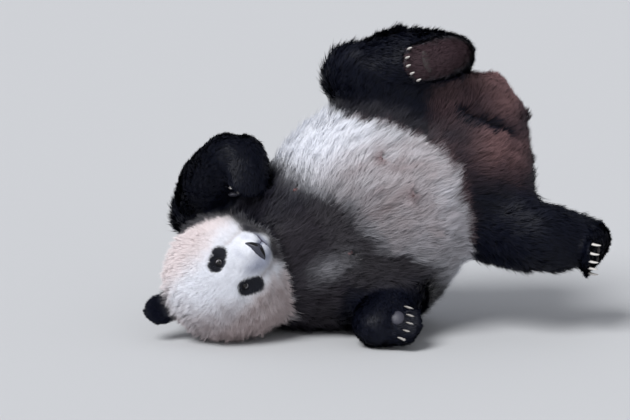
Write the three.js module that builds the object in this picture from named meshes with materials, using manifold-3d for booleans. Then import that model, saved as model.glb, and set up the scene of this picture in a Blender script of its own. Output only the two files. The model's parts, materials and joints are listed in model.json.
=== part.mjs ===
// A life-size giant panda lying on its right side with its belly to the front and its hips rolled up.
// Millimetres, +Z up. +X runs from the head towards the hind feet, and the belly faces -Y.
// Each part of the body is a smooth field of rounded lumps, and a three.js capsule or icosahedron is
// drawn onto that field. The parts are then trimmed where they meet, which leaves a thin gap.

import * as THREE from "three";
import { mergeVertices } from "three/addons/utils/BufferGeometryUtils.js";
import Module from "manifold-3d";

const wasm = await Module();
wasm.setup();

// ---------------------------------------------------------------- driving sizes

const V = (x, y, z) => new THREE.Vector3(x, y, z);
const rad = THREE.MathUtils.degToRad;

const GAP = 0.35; // clearance between two parts that meet
const BACK_SLOPE = 29; // degrees that the spine rises from the chest to the hips

const TRUNK = {
  chest: { centre: V(-205, 5, 232), length: 215, width: 226, depth: 200 },
  belly: { centre: V(12, 0, 335), length: 262, width: 262, depth: 236 },
  rump: { centre: V(232, 40, 432), length: 196, width: 214, depth: 200 },
};
// Swellings of the trunk. The lower ones sag onto the floor.
const SWELL = {
  breast: { centre: V(-165, 25, 126), radii: V(190, 165, 138) },
  upperFlank: { centre: V(-60, 15, 420), radii: V(200, 196, 190) },
  lowerFlank: { centre: V(8, 42, 150), radii: V(188, 178, 168) },
  upperButtock: { centre: V(246, 60, 552), radii: V(142, 134, 144) },
  lowerButtock: { centre: V(268, 62, 336), radii: V(150, 142, 150) },
};
const NECK = {
  nape: V(0, -70, -10), // in the head's frame
  napeRadius: 132,
  shoulders: V(-268, 0, 208),
  shouldersRadius: 150,
  ruff: { centre: V(-318, 46, 214), radii: V(130, 128, 140) },
};
const TAIL = {
  root: { centre: V(322, 100, 628), radii: V(54, 36, 66) },
  tip: { centre: V(380, 84, 566), radii: V(42, 26, 44) },
};

const HEAD = {
  centre: V(-405, -128, 158),
  roll: 136.8, // about the line of sight: the crown points down and to -X
  pitch: 25.3, // nose towards the chest
  yaw: -1.3, // nose towards the lower side
  lean: 12, // the face looks slightly upwards
};
// Lumps of the skull and of the face, each at [right, forward, up] in the head's frame.
const SKULL = [
  { at: [0, -8, 8], radii: V(155, 152, 147) }, // cranium
  { at: [-80, 10, -40], radii: V(80, 88, 84) }, // upper cheek
  { at: [86, 10, -42], radii: V(95, 90, 94) }, // lower cheek, spread by the floor
  { at: [0, 62, -58], radii: V(92, 84, 78) }, // jaw
];
const FACE = [
  { at: [0, 118, -50], radii: V(66, 74, 56) }, // muzzle
  { at: [0, 96, -4], radii: V(44, 62, 44) }, // bridge of the nose
  { at: [0, 104, -86], radii: V(46, 54, 34) }, // chin
];
const EAR = { radius: 50, thickness: 17, out: 69, back: 62, up: 159, cup: V(36, 19, 34) };
// The lower ear is folded back between the head and the floor.
const FOLDED_EAR = { centre: V(-372, 8, 34), turn: [62, -8, 12], flat: 0.9 };
const EYE = { radius: 11.5, out: 45, forward: 120, up: 26, sunk: 12.5, socket: V(17, 20, 15) };
const NOSE = { width: 35, height: 15.5, depth: 17, forward: 183, up: -43 };

const FOREPAW = { length: 128, width: 122, thickness: 74, toe: 19, claw: 38, clawRoot: 6 };
const HINDPAW = { length: 150, width: 118, thickness: 74, toe: 18, claw: 32, clawRoot: 5.5 };
const TOES = 5;

// Joints of the pose, with each one's radius in its coat. The left limbs are the upper ones.
// The muscle is the swell of the upper arm, the bulge that of the forearm and the calf that of the shank.
const LIMBS = {
  left: {
    shoulder: { at: V(-352, 30, 318), radius: 104 },
    muscle: { at: V(-402, 55, 310), radii: V(112, 108, 104) },
    elbow: { at: V(-475, 84, 300), radius: 88 },
    bulge: { at: V(-440, 12, 392), radii: V(90, 92, 90) },
    wrist: { at: V(-395, -50, 464), radius: 82 },
    hip: { at: V(205, 20, 585), radius: 122 },
    knee: { at: V(-52, 6, 684), radius: 98 },
    calf: { at: V(74, -4, 726), radii: V(112, 92, 102) },
    ankle: { at: V(180, -40, 742), radius: 78 },
  },
  right: {
    shoulder: { at: V(-150, -20, 118), radius: 108 },
    muscle: { at: V(-60, -60, 116), radii: V(112, 100, 98) },
    elbow: { at: V(58, -118, 120), radius: 86 },
    wrist: { at: V(2, -212, 66), radius: 70 },
    hip: { at: V(232, 40, 316), radius: 128 },
    knee: { at: V(400, -100, 276), radius: 100 },
    calf: { at: V(470, -62, 252), radii: V(90, 84, 84) },
    ankle: { at: V(560, -20, 246), radius: 66 },
  },
};

// Each paw's root, where its toes point, which way its back faces and how far its claws curl under.
const PAWS = {
  left_forepaw: {
    size: FOREPAW,
    root: V(-348, -70, 490),
    toes: V(0.12, -0.66, -0.74),
    back: V(0.35, -0.6, 0.72),
    curl: 100,
  },
  right_forepaw: {
    size: FOREPAW,
    root: V(2, -212, 62),
    toes: V(0.93, -0.36, 0.0),
    back: V(0.3, 0.76, -0.58),
    curl: 100,
  },
  left_hindpaw: {
    size: HINDPAW,
    root: V(200, -98, 760),
    toes: V(-0.923, -0.336, -0.189),
    back: V(-0.2, 0.93, -0.3),
    curl: 60,
  },
  right_hindpaw: {
    size: HINDPAW,
    root: V(588, -26, 246),
    toes: V(-0.28, -0.94, -0.2),
    back: V(-0.95, 0.28, 0.1),
    curl: 60,
  },
};

const LOWER_SLIM = 0.93; // how much slimmer a shank or forearm starts than the joint round it

// Width of the fillet where lumps melt into each other.
const FILLET = {
  trunk: 90,
  rump: 70,
  skull: 60,
  neck: 60,
  muscle: 46,
  face: 34,
  tail: 30,
  palm: 30,
  toes: 12,
};

const COLOUR = {
  white: [0.86, 0.84, 0.8],
  black: [0.025, 0.025, 0.03],
  brown: [0.24, 0.15, 0.11],
  horn: [0.62, 0.56, 0.48],
  leather: [0.03, 0.028, 0.03],
};

// ---------------------------------------------------------------- fields

// Signed distance to an ellipsoid with half-axes `radii`, turned by `turn`.
function lump(centre, radii, turn = new THREE.Quaternion()) {
  const back = turn.clone().invert();
  return (p) => {
    const q = p.clone().sub(centre).applyQuaternion(back);
    const near = q.clone().divide(radii).length();
    const slope = q.clone().divide(radii).divide(radii).length();
    return slope < 1e-9 ? -Math.min(radii.x, radii.y, radii.z) : (near * (near - 1)) / slope;
  };
}

// Signed distance to a limb that tapers from one ball to another.
function taper(from, to, radiusFrom, radiusTo) {
  const along = to.clone().sub(from);
  const squared = along.lengthSq();
  return (p) => {
    const share = THREE.MathUtils.clamp(p.clone().sub(from).dot(along) / squared, 0, 1);
    const nearest = from.clone().addScaledVector(along, share);
    return p.distanceTo(nearest) - THREE.MathUtils.lerp(radiusFrom, radiusTo, share);
  };
}

// Joins fields with a fillet about `width` wide.
const melt = (width, ...fields) => (p) =>
  fields.map((f) => f(p)).reduce((a, b) => {
    const near = Math.max(width - Math.abs(a - b), 0) / width;
    return Math.min(a, b) - (near * near * width) / 4;
  });

// Hollows a field by another one.
const dent = (field, hollow) => (p) => Math.max(field(p), -hollow(p));

// How far the field's surface lies from `start` in a direction.
function reach(field, start, direction, level = 0) {
  const step = 6;
  let outside = step;
  while (field(start.clone().addScaledVector(direction, outside)) < level) outside += step;
  let inside = outside - step;
  for (let i = 0; i < 14; i++) {
    const middle = (inside + outside) / 2;
    if (field(start.clone().addScaledVector(direction, middle)) < level) inside = middle;
    else outside = middle;
  }
  return (inside + outside) / 2;
}

// ---------------------------------------------------------------- meshes and solids

const UP = V(0, 1, 0);

// Pushes each vertex of a ball or capsule out from its axis onto the field.
function wrap({ field, from, to, around = 16, rings = 5 }, level = 0) {
  const axis = to.clone().sub(from);
  const length = axis.length();
  const ball = length < 1;
  const shape = ball
    ? new THREE.IcosahedronGeometry(1, around)
    : new THREE.CapsuleGeometry(1, length, rings, around, Math.max(1, Math.round(rings * 0.8)));
  const turn = new THREE.Quaternion().setFromUnitVectors(UP, ball ? UP : axis.clone().normalize());
  const middle = from.clone().add(to).multiplyScalar(0.5);
  const position = shape.getAttribute("position");
  for (let i = 0; i < position.count; i++) {
    const vertex = new THREE.Vector3().fromBufferAttribute(position, i);
    const onAxis = V(0, THREE.MathUtils.clamp(vertex.y, -length / 2, length / 2), 0);
    const direction = vertex.sub(onAxis).normalize().applyQuaternion(turn);
    const start = onAxis.applyQuaternion(turn).add(middle);
    const surface = start.clone().addScaledVector(direction, reach(field, start, direction, level));
    position.setXYZ(i, surface.x, surface.y, surface.z);
  }
  return shape;
}

function solidOf(geometry) {
  const plain = geometry.clone();
  plain.deleteAttribute("normal");
  plain.deleteAttribute("uv");
  const merged = mergeVertices(plain, 1e-3);
  const corners = merged.index.array;
  const kept = [];
  for (let i = 0; i < corners.length; i += 3) {
    const [a, b, c] = [corners[i], corners[i + 1], corners[i + 2]];
    if (a !== b && b !== c && a !== c) kept.push(a, b, c);
  }
  return new wasm.Manifold(
    new wasm.Mesh({
      numProp: 3,
      vertProperties: merged.getAttribute("position").array,
      triVerts: new Uint32Array(kept),
    }),
  );
}

function geometryOf(solid) {
  const mesh = solid.getMesh();
  const geometry = new THREE.BufferGeometry();
  geometry.setAttribute("position", new THREE.BufferAttribute(mesh.vertProperties, 3));
  geometry.setIndex(new THREE.BufferAttribute(mesh.triVerts, 1));
  geometry.computeVertexNormals();
  return geometry;
}

const largest = (solid) => solid.decompose().sort((a, b) => b.volume() - a.volume())[0];

function material(colour, roughness) {
  return new THREE.MeshStandardMaterial({ color: new THREE.Color(...colour), roughness, metalness: 0 });
}

// ---------------------------------------------------------------- trunk

const bodyTurn = new THREE.Quaternion().setFromAxisAngle(V(0, 1, 0), -rad(BACK_SLOPE));

function trunkLump({ centre, length, width, depth }) {
  return lump(centre, V(length, depth, width), bodyTurn);
}

function trunkParts() {
  const { chest, belly, rump } = TRUNK;
  const { breast, upperFlank, lowerFlank, upperButtock, lowerButtock } = SWELL;
  return [
    {
      name: "chest",
      colour: COLOUR.black,
      field: melt(FILLET.trunk, trunkLump(chest), lump(breast.centre, breast.radii)),
      from: chest.centre.clone().add(V(-60, 0, -40)),
      to: chest.centre.clone().add(V(60, 0, 10)),
      around: 16,
      rings: 4,
    },
    {
      name: "belly",
      colour: COLOUR.white,
      field: melt(
        FILLET.trunk,
        trunkLump(belly),
        lump(upperFlank.centre, upperFlank.radii, bodyTurn),
        lump(lowerFlank.centre, lowerFlank.radii),
      ),
      from: belly.centre.clone().add(V(-60, 0, -70)),
      to: belly.centre.clone().add(V(40, 0, 60)),
      around: 16,
      rings: 5,
    },
    {
      name: "rump",
      colour: COLOUR.brown,
      field: melt(
        FILLET.rump,
        trunkLump(rump),
        lump(upperButtock.centre, upperButtock.radii),
        lump(lowerButtock.centre, lowerButtock.radii),
      ),
      from: V(225, 40, 350),
      to: V(250, 45, 560),
      around: 16,
      rings: 4,
    },
  ];
}

// ---------------------------------------------------------------- head

// The head's own frame: +X to the animal's right, +Y out of the face, +Z to the crown.
const headTurn = new THREE.Quaternion()
  .setFromAxisAngle(V(1, 0, 0), -rad(HEAD.lean))
  .multiply(new THREE.Quaternion().setFromAxisAngle(V(0, 1, 0), -rad(HEAD.roll)))
  .multiply(new THREE.Quaternion().setFromAxisAngle(V(0, 0, 1), Math.PI + rad(HEAD.yaw)))
  .multiply(new THREE.Quaternion().setFromAxisAngle(V(1, 0, 0), -rad(HEAD.pitch)));
const onHead = (right, forward, up) =>
  V(right, forward, up).applyQuaternion(headTurn).add(HEAD.centre);
const headLump = ({ at, radii }) => lump(onHead(...at), radii, headTurn);
const SIDES = { left: -1, right: 1 };

const skullField = melt(FILLET.skull, ...SKULL.map(headLump));
const faceField = melt(FILLET.face, skullField, ...FACE.map(headLump));

function eyeCentre(side) {
  const direction = V(side * EYE.out, EYE.forward, EYE.up).applyQuaternion(headTurn).normalize();
  return HEAD.centre
    .clone()
    .addScaledVector(direction, reach(faceField, HEAD.centre, direction) - EYE.sunk);
}

function headParts() {
  const parts = [];
  const sockets = [];
  const nose = [0, NOSE.forward, NOSE.up];
  for (const [name, side] of Object.entries(SIDES)) {
    const centre = eyeCentre(side);
    const ball = (level) => new THREE.SphereGeometry(EYE.radius + level, 10, 8);
    sockets.push(lump(onHead(0, 0, 0).lerp(centre, 1.12), EYE.socket, headTurn));
    parts.push({
      name: `eye_${name}`,
      colour: COLOUR.leather,
      roughness: 0.1,
      solid: (level) => solidOf(ball(level).translate(...centre.toArray())),
    });
  }
  parts.push({
    name: "head",
    colour: COLOUR.white,
    field: sockets.reduce(dent, faceField),
    from: HEAD.centre,
    to: HEAD.centre,
    around: 5,
  });
  parts.push({
    name: "nose",
    colour: COLOUR.leather,
    roughness: 0.35,
    field: headLump({ at: nose, radii: V(NOSE.width, NOSE.depth, NOSE.height) }),
    from: onHead(...nose),
    to: onHead(...nose),
    around: 2,
  });
  return parts;
}

// Round cupped ears.
function earParts() {
  const folded = new THREE.Quaternion().setFromEuler(new THREE.Euler(...FOLDED_EAR.turn.map(rad)));
  const discs = {
    left: { centre: onHead(-EAR.out, -EAR.back, EAR.up), turn: headTurn, flat: 1 },
    right: { centre: FOLDED_EAR.centre, turn: folded, flat: FOLDED_EAR.flat },
  };
  return Object.entries(discs).map(([name, { centre, turn, flat }]) => {
    const disc = lump(centre, V(EAR.radius, EAR.thickness, EAR.radius * flat), turn);
    const forward = V(0, 1, 0).applyQuaternion(turn);
    const cup = lump(centre.clone().addScaledVector(forward, EAR.thickness * 1.5), EAR.cup, turn);
    return {
      name: `ear_${name}`,
      colour: COLOUR.black,
      field: dent(disc, cup),
      from: centre,
      to: centre,
      around: 2,
    };
  });
}

// ---------------------------------------------------------------- neck and tail

function neckPart() {
  const { shoulders, napeRadius, shouldersRadius, ruff } = NECK;
  const nape = onHead(...NECK.nape.toArray());
  return {
    name: "neck",
    colour: COLOUR.white,
    field: melt(
      FILLET.neck,
      taper(nape, shoulders, napeRadius, shouldersRadius),
      lump(ruff.centre, ruff.radii),
    ),
    from: V(-345, -20, 190),
    to: V(-290, 0, 210),
    around: 10,
    rings: 3,
  };
}

function tailPart() {
  const { root, tip } = TAIL;
  const way = tip.centre.clone().sub(root.centre).normalize();
  const turn = new THREE.Quaternion().setFromUnitVectors(V(0, 0, 1), way);
  return {
    name: "tail",
    colour: COLOUR.brown,
    field: melt(FILLET.tail, lump(root.centre, root.radii, turn), lump(tip.centre, tip.radii, turn)),
    from: root.centre,
    to: tip.centre,
    around: 10,
    rings: 3,
  };
}

// ---------------------------------------------------------------- limbs

// The lower length of a limb starts slimmer, inside the round end of the upper one.
function limbParts(side) {
  const { shoulder, muscle, elbow, bulge, wrist, hip, knee, calf, ankle } = LIMBS[side];
  const limb = (name, from, to, swell, slim = 1) => {
    const bone = taper(from.at, to.at, from.radius * slim, to.radius);
    return {
      name: `${side}_${name}`,
      colour: COLOUR.black,
      field: swell ? melt(FILLET.muscle, bone, lump(swell.at, swell.radii)) : bone,
      from: from.at,
      to: to.at,
      around: 12,
      rings: 3,
    };
  };
  return [
    limb("upper_arm", shoulder, elbow, muscle),
    limb("forearm", elbow, wrist, bulge, LOWER_SLIM),
    limb("thigh", hip, knee),
    limb("shank", knee, ankle, calf, LOWER_SLIM),
  ];
}

// ---------------------------------------------------------------- paws and claws

// Toe i of a paw, as its share of the way across, from -1 to 1.
const across = (i) => -1 + (2 * i) / (TOES - 1);

// A paw's own frame is +X to the toes, +Y across and +Z out of its back.
function pawParts(name) {
  const { size, root, toes, back, curl } = PAWS[name];
  const x = toes.clone().normalize();
  const y = back.clone().cross(x).normalize();
  const turn = new THREE.Quaternion().setFromRotationMatrix(
    new THREE.Matrix4().makeBasis(x, y, x.clone().cross(y)),
  );
  const at = (ax, ay, az) => V(ax, ay, az).applyQuaternion(turn).add(root);
  const half = size.width / 2;
  const tip = (i) => {
    const share = across(i);
    return [size.length * (0.86 - 0.11 * share * share), share * (half - size.toe + 2)];
  };
  const digits = Array.from({ length: TOES }, (_, i) => {
    const [tx, ty] = tip(i);
    return taper(at(tx * 0.6, ty * 0.8, 2), at(tx, ty, -5), size.toe, size.toe * 0.86);
  });
  const palmRadii = V(size.length * 0.46, half, size.thickness / 2);
  const palm = lump(at(size.length * 0.36, 0, 0), palmRadii, turn);
  const heel = lump(at(0, 0, 0), V(size.thickness * 0.8, half * 0.88, size.thickness * 0.62), turn);
  const paw = {
    name,
    colour: COLOUR.black,
    field: melt(FILLET.toes, melt(FILLET.palm, palm, heel), ...digits),
    from: at(0, 0, 0),
    to: at(size.length * 0.5, 0, 0),
    around: 14,
    rings: 5,
  };
  const claws = Array.from({ length: TOES }, (_, i) => {
    const [tx, ty] = tip(i);
    const under = rad(curl);
    const out = size.toe * 0.5;
    return {
      name: `${name}_claw_${i + 1}`,
      colour: COLOUR.horn,
      roughness: 0.4,
      solid: (level) =>
        clawSolid(size, level)
          .applyMatrix4(new THREE.Matrix4().makeRotationY(under))
          .translate(tx + out * Math.cos(under), ty, -5 - out * Math.sin(under))
          .applyQuaternion(turn)
          .translate(root.x, root.y, root.z),
    };
  });
  return [paw, ...claws.map((claw) => ({ ...claw, solid: (level) => solidOf(claw.solid(level)) }))];
}

// A tapering claw that starts along +X and bends down through a quarter of a circle or so.
function clawSolid(size, level) {
  const rows = 4;
  const bend = rad(62);
  const outline = Array.from({ length: rows + 1 }, (_, i) => {
    const share = i / rows;
    const radius = i === 0 || i === rows ? 0 : size.clawRoot * Math.sqrt(1 - share ** 1.6) + level;
    return new THREE.Vector2(radius, share * size.claw);
  });
  outline.splice(1, 0, new THREE.Vector2(size.clawRoot + level, 0.01));
  const shape = new THREE.LatheGeometry(outline, 5);
  const position = shape.getAttribute("position");
  const arcRadius = size.claw / bend;
  for (let i = 0; i < position.count; i++) {
    const angle = (position.getY(i) / size.claw) * bend;
    const [sideways, thick] = [-position.getX(i) * 0.8, position.getZ(i) * 1.15];
    position.setXYZ(
      i,
      Math.sin(angle) * (arcRadius + thick),
      sideways,
      Math.cos(angle) * (arcRadius + thick) - arcRadius,
    );
  }
  return shape;
}

// ---------------------------------------------------------------- assembly

const [eyeLeft, eyeRight, head, nose] = headParts();
const parts = [
  eyeLeft,
  eyeRight,
  head,
  nose,
  ...earParts(),
  ...trunkParts(),
  ...Object.keys(PAWS).flatMap(pawParts),
  ...limbParts("left"),
  ...limbParts("right"),
  tailPart(),
  neckPart(),
];

const FLOOR_BOX = 4000;
const belowFloor = solidOf(
  new THREE.BoxGeometry(FLOOR_BOX, FLOOR_BOX, FLOOR_BOX).translate(0, 0, -FLOOR_BOX / 2),
);

// Each part gives way, by the gap, to the parts listed before it.
const panda = new THREE.Group();
const placed = [];
for (const part of parts) {
  const make = part.solid ?? ((level) => solidOf(wrap(part, level)));
  let solid = make(0).subtract(belowFloor);
  for (const earlier of placed) solid = solid.subtract(earlier);
  placed.push(make(GAP));
  const finish = material(part.colour, part.roughness ?? 0.9);
  const mesh = new THREE.Mesh(geometryOf(largest(solid)), finish);
  mesh.name = part.name;
  panda.add(mesh);
}

// The origin is on the floor, under the middle of the whole animal.
const middle = new THREE.Box3().setFromObject(panda).getCenter(new THREE.Vector3());
panda.position.set(-middle.x, -middle.y, 0);

export default panda;
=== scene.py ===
# %% [markdown]
# # A giant panda, life size
# This script dresses a still model of a young giant panda. It lies on its right side with its belly
# to the front, its hips rolled up and its head resting upside down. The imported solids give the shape
# out to the tips of the coat. The script puts one skin inside them, grows the coat on that skin, and
# adds the eyes, lids, nose, mouth, claws, pads and nipples. Lengths are in metres, in the solids' frame.

# %% Load the solids
import json
import math
from contextlib import contextmanager
import bpy
import numpy as np
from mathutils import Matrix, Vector
from mathutils.bvhtree import BVHTree
from mathutils.kdtree import KDTree

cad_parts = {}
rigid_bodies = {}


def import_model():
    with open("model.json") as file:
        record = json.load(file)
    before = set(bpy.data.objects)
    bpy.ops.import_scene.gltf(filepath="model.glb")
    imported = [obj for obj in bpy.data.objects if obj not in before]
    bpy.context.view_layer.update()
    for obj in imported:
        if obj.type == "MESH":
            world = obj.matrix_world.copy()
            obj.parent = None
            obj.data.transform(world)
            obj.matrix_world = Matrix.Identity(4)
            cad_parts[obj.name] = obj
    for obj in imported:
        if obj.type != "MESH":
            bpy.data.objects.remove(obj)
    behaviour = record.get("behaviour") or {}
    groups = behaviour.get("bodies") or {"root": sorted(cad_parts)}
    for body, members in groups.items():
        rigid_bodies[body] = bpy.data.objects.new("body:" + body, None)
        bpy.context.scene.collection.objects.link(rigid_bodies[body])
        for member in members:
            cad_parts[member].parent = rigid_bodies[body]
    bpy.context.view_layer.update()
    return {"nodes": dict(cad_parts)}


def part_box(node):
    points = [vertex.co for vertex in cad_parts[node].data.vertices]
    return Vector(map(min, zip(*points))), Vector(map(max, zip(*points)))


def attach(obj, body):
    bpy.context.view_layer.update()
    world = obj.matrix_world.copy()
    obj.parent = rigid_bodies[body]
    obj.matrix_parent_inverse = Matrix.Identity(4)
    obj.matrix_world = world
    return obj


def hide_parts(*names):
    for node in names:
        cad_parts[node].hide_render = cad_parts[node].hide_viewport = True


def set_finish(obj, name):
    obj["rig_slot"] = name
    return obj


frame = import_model()
MM = 0.001
print("solids:", len(frame["nodes"]))

# %% [markdown]
# ## Camera
# The panda is seen from a little above its belly, from far enough away that its near paws are not
# swollen. A long lens at seven metres does that.

# %% Camera
VIEW_CENTRE = Vector((-0.1704, 0.0315, 0.3221))
VIEW_DISTANCE = 7.0875
VIEW_HEIGHT = math.radians(12)
back_to_camera = Vector((0, -math.cos(VIEW_HEIGHT), math.sin(VIEW_HEIGHT)))
bpy.ops.object.camera_add(
    location=VIEW_CENTRE + back_to_camera * VIEW_DISTANCE,
    rotation=(math.pi / 2 - VIEW_HEIGHT, 0, 0),
)
camera = bpy.context.object
camera.data.lens = 150
camera.data.sensor_width = 36
camera.data.clip_end = 200
bpy.context.scene.camera = camera
bpy.context.scene.view_settings.view_transform = "Standard"
print("camera at", [round(v, 3) for v in camera.location])

# %% [markdown]
# ## Selecting
# Operators act on everything that is selected, so each step starts by choosing one piece alone. Its
# points are read and written as arrays, which is far quicker than one by one.


# %% Helpers for selecting
def only(piece):
    """Selects one piece and makes it the active one."""
    bpy.ops.object.select_all(action="DESELECT")
    piece.select_set(True)
    bpy.context.view_layer.objects.active = piece


@contextmanager
def editing(piece, select=None):
    """Edit mode on one piece, with all or none of its mesh selected, or with what was chosen before."""
    only(piece)
    bpy.ops.object.mode_set(mode="EDIT")
    if select:
        bpy.ops.mesh.select_all(action=select)
    yield
    bpy.ops.object.mode_set(mode="OBJECT")


def apply_modifier(piece, kind, **settings):
    """Adds one modifier with its settings and applies it."""
    only(piece)
    modifier = piece.modifiers.new(kind.title(), kind)
    for name, value in settings.items():
        setattr(modifier, name, value)
    bpy.ops.object.modifier_apply(modifier=modifier.name)


def in_scene(name, data):
    """A new object that shows a mesh or a curve."""
    piece = bpy.data.objects.new(name, data)
    bpy.context.scene.collection.objects.link(piece)
    return piece


# %% Helpers for points
def read_rows(items, field, width, kind=float):
    """What a mesh holds for each of its points, edges or faces, as the rows of an array."""
    values = np.empty(len(items) * width, kind)
    items.foreach_get(field, values)
    return values.reshape(-1, width)


def points_of(mesh):
    """The places of a mesh's points."""
    return read_rows(mesh.vertices, "co", 3)


def normals_of(mesh):
    """The outward directions at a mesh's points."""
    return read_rows(mesh.vertex_normals, "vector", 3)


def move_points(mesh, places):
    """Writes the places of a mesh's points."""
    mesh.vertices.foreach_set("co", places.ravel())
    mesh.update()


def shade_soft(mesh):
    """Shades all the faces of a mesh as one soft surface."""
    mesh.polygons.foreach_set("use_smooth", np.ones(len(mesh.polygons), bool))


def unit(rows):
    """Directions with length one."""
    rows = np.asarray(rows, float)
    return rows / np.maximum(np.linalg.norm(rows, axis=-1, keepdims=True), 1e-9)


def smooth_step(low, high, value):
    """Runs from 0 at low to 1 at high, with soft ends."""
    share = np.clip((value - low) / (high - low), 0, 1)
    return share * share * (3 - 2 * share)


# %% [markdown]
# ## Landmarks
# Every place comes from the solids. The two eyes and the nose give the head a frame of its own: +X to
# the animal's right, +Y out of the face and +Z to the crown. The chains of a leg or arm, from node to
# node down to the claws, tell later which way its hair lies.


# %% Landmarks on the head
def middle(node):
    """The middle of a solid's box."""
    low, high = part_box(node)
    return np.array((low + high) / 2)


EYE_FORWARD, EYE_UP = 124.8 * MM, 27 * MM  # the eyes' and nose's places on the head
NOSE_FORWARD, NOSE_UP = 186.1 * MM, -40.9 * MM
FACE_SLOPE = math.atan2(NOSE_FORWARD - EYE_FORWARD, EYE_UP - NOSE_UP)
between_eyes = (middle("eye_left") + middle("eye_right")) / 2
head_right = unit(middle("eye_right") - middle("eye_left"))
nose_to_brow = between_eyes - middle("nose")
nose_to_brow = unit(nose_to_brow - head_right * (nose_to_brow @ head_right))
out_of_slope = np.cross(nose_to_brow, head_right)
head_forward = math.cos(FACE_SLOPE) * out_of_slope - math.sin(FACE_SLOPE) * nose_to_brow
head_up = math.sin(FACE_SLOPE) * out_of_slope + math.cos(FACE_SLOPE) * nose_to_brow
head_axes = np.array([head_right, head_forward, head_up])
head_centre = between_eyes - head_forward * EYE_FORWARD - head_up * EYE_UP


def to_head(places):
    """Places in the head's own frame."""
    return (np.asarray(places) - head_centre) @ head_axes.T


def from_head(places):
    """Places given in the head's own frame."""
    return np.asarray(places) @ head_axes + head_centre


print("head centre", np.round(head_centre, 3))

# %% Landmarks on the body
SIDES = ("left", "right")
PAWS = [f"{side}_{paw}" for side in SIDES for paw in ("forepaw", "hindpaw")]
FLESH = [n for n in sorted(frame["nodes"]) if "eye" not in n and "nose" not in n and "claw" not in n]
claws = {paw: [n for n in sorted(frame["nodes"]) if n.startswith(f"{paw}_claw")] for paw in PAWS}
toes = {paw: np.mean([middle(n) for n in claws[paw]], axis=0) for paw in PAWS}
TRUNK_SLOPE = math.radians(29)
along_trunk = np.array([math.cos(TRUNK_SLOPE), 0, math.sin(TRUNK_SLOPE)])
across_trunk = np.array([-math.sin(TRUNK_SLOPE), 0, math.cos(TRUNK_SLOPE)])
belly_middle = middle("belly")
NIPPLES = ((-145, 185), (-95, -17), (93, 160), (120, 37))  # along and across the trunk, in mm


def on_trunk(places):
    """How far places lie along and across the trunk from the middle of the belly."""
    away = np.asarray(places) - belly_middle
    return away @ along_trunk, away @ across_trunk


def from_nipple(places, station, height):
    """How far places lie from a nipple, along and across the trunk."""
    along, across = on_trunk(places)
    return np.hypot(along - station * MM, across - height * MM)


print("flesh nodes:", len(FLESH), "belly middle", np.round(belly_middle, 3))

# %% [markdown]
# ## Stage
# A plain pale floor, a large soft lamp from above and to the left, and an even pale sky that fills the
# shadows. The lamps are set so that a white coat stays just under full white.

# %% Stage
FLOOR_SIZE = 60
FLOOR_COLOUR, SKY_COLOUR = (0.58, 0.59, 0.61, 1), (0.93, 0.95, 1, 1)
bpy.ops.mesh.primitive_plane_add(size=FLOOR_SIZE, location=(0, FLOOR_SIZE / 4, 0))
floor = bpy.context.object
floor.name = "floor"


def new_material(name, values):
    """A material with its tree and its shader, which gets plain values on some of its inputs."""
    material = bpy.data.materials.new(name)
    material.use_nodes = True
    shader = material.node_tree.nodes["Principled BSDF"]
    for socket, value in values.items():
        shader.inputs[socket].default_value = value
    return material, material.node_tree, shader


pale_floor, _, _ = new_material("pale_floor", {"Base Color": FLOOR_COLOUR, "Roughness": 0.9})
floor.data.materials.append(pale_floor)


def soft_sun(name, place, power, softness):
    """A wide even lamp that shines from a place towards the panda."""
    turn = (-Vector(place)).to_track_quat("-Z", "Y").to_euler()
    bpy.ops.object.light_add(type="SUN", location=place, rotation=turn)
    lamp = bpy.context.object
    lamp.name = name
    lamp.data.energy = power
    lamp.data.angle = math.radians(softness)


soft_sun("key_lamp", (-1.5, -1.9, 2.8), 2.75, 30)
soft_sun("front_lamp", (1.0, -3.6, 1.2), 0.25, 60)
world = bpy.data.worlds.new("studio")
world.use_nodes = True
bpy.context.scene.world = world
sky = world.node_tree.nodes["Background"]
sky.inputs["Color"].default_value = SKY_COLOUR
sky.inputs["Strength"].default_value = 0.42

# %% [markdown]
# ## Skin
# On the animal one hide covers the whole body. The solids of flesh are copied, grown a little so that
# they overlap, and joined. A voxel remesh turns them into one closed surface with even faces, and a
# few rounds of smoothing take out their facets. The face gets finer faces than the rest.

# %% One surface round all the flesh
OVERLAP = 3 * MM
VOXEL = 6.6 * MM


def merged_copy(node, name):
    """A copy of a solid in which the loose triangles share their corners."""
    piece = in_scene(name, frame["nodes"][node].data.copy())
    with editing(piece, "SELECT"):
        bpy.ops.mesh.remove_doubles(threshold=0.01 * MM)
    bpy.ops.mesh.customdata_custom_splitnormals_clear()
    return piece


def join(pieces, name):
    """Joins pieces into one."""
    only(pieces[0])
    for piece in pieces:
        piece.select_set(True)
    bpy.ops.object.join()
    pieces[0].name = name
    return pieces[0]


def swell(piece, rises):
    """Moves a piece's points outwards, all by one rise or each by its own."""
    rises = np.reshape(rises, (-1, 1))
    move_points(piece.data, points_of(piece.data) + normals_of(piece.data) * rises)


lumps = [merged_copy(node, "lump") for node in FLESH]
for lump in lumps:
    swell(lump, OVERLAP)
skin = join(lumps, "skin")
skin.data.materials.clear()
apply_modifier(skin, "REMESH", mode="VOXEL", voxel_size=VOXEL)
skin.data.vertices.foreach_set("select", np.zeros(len(skin.data.vertices), bool))
skin.data.vertices[int(points_of(skin.data)[:, 2].argmax())].select = True
with editing(skin):
    bpy.ops.mesh.select_linked()
    bpy.ops.mesh.select_all(action="INVERT")
    bpy.ops.mesh.delete(type="VERT")  # the pockets between the solids
apply_modifier(skin, "SMOOTH", factor=0.5, iterations=12)
print("skin faces:", len(skin.data.polygons))

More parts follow.
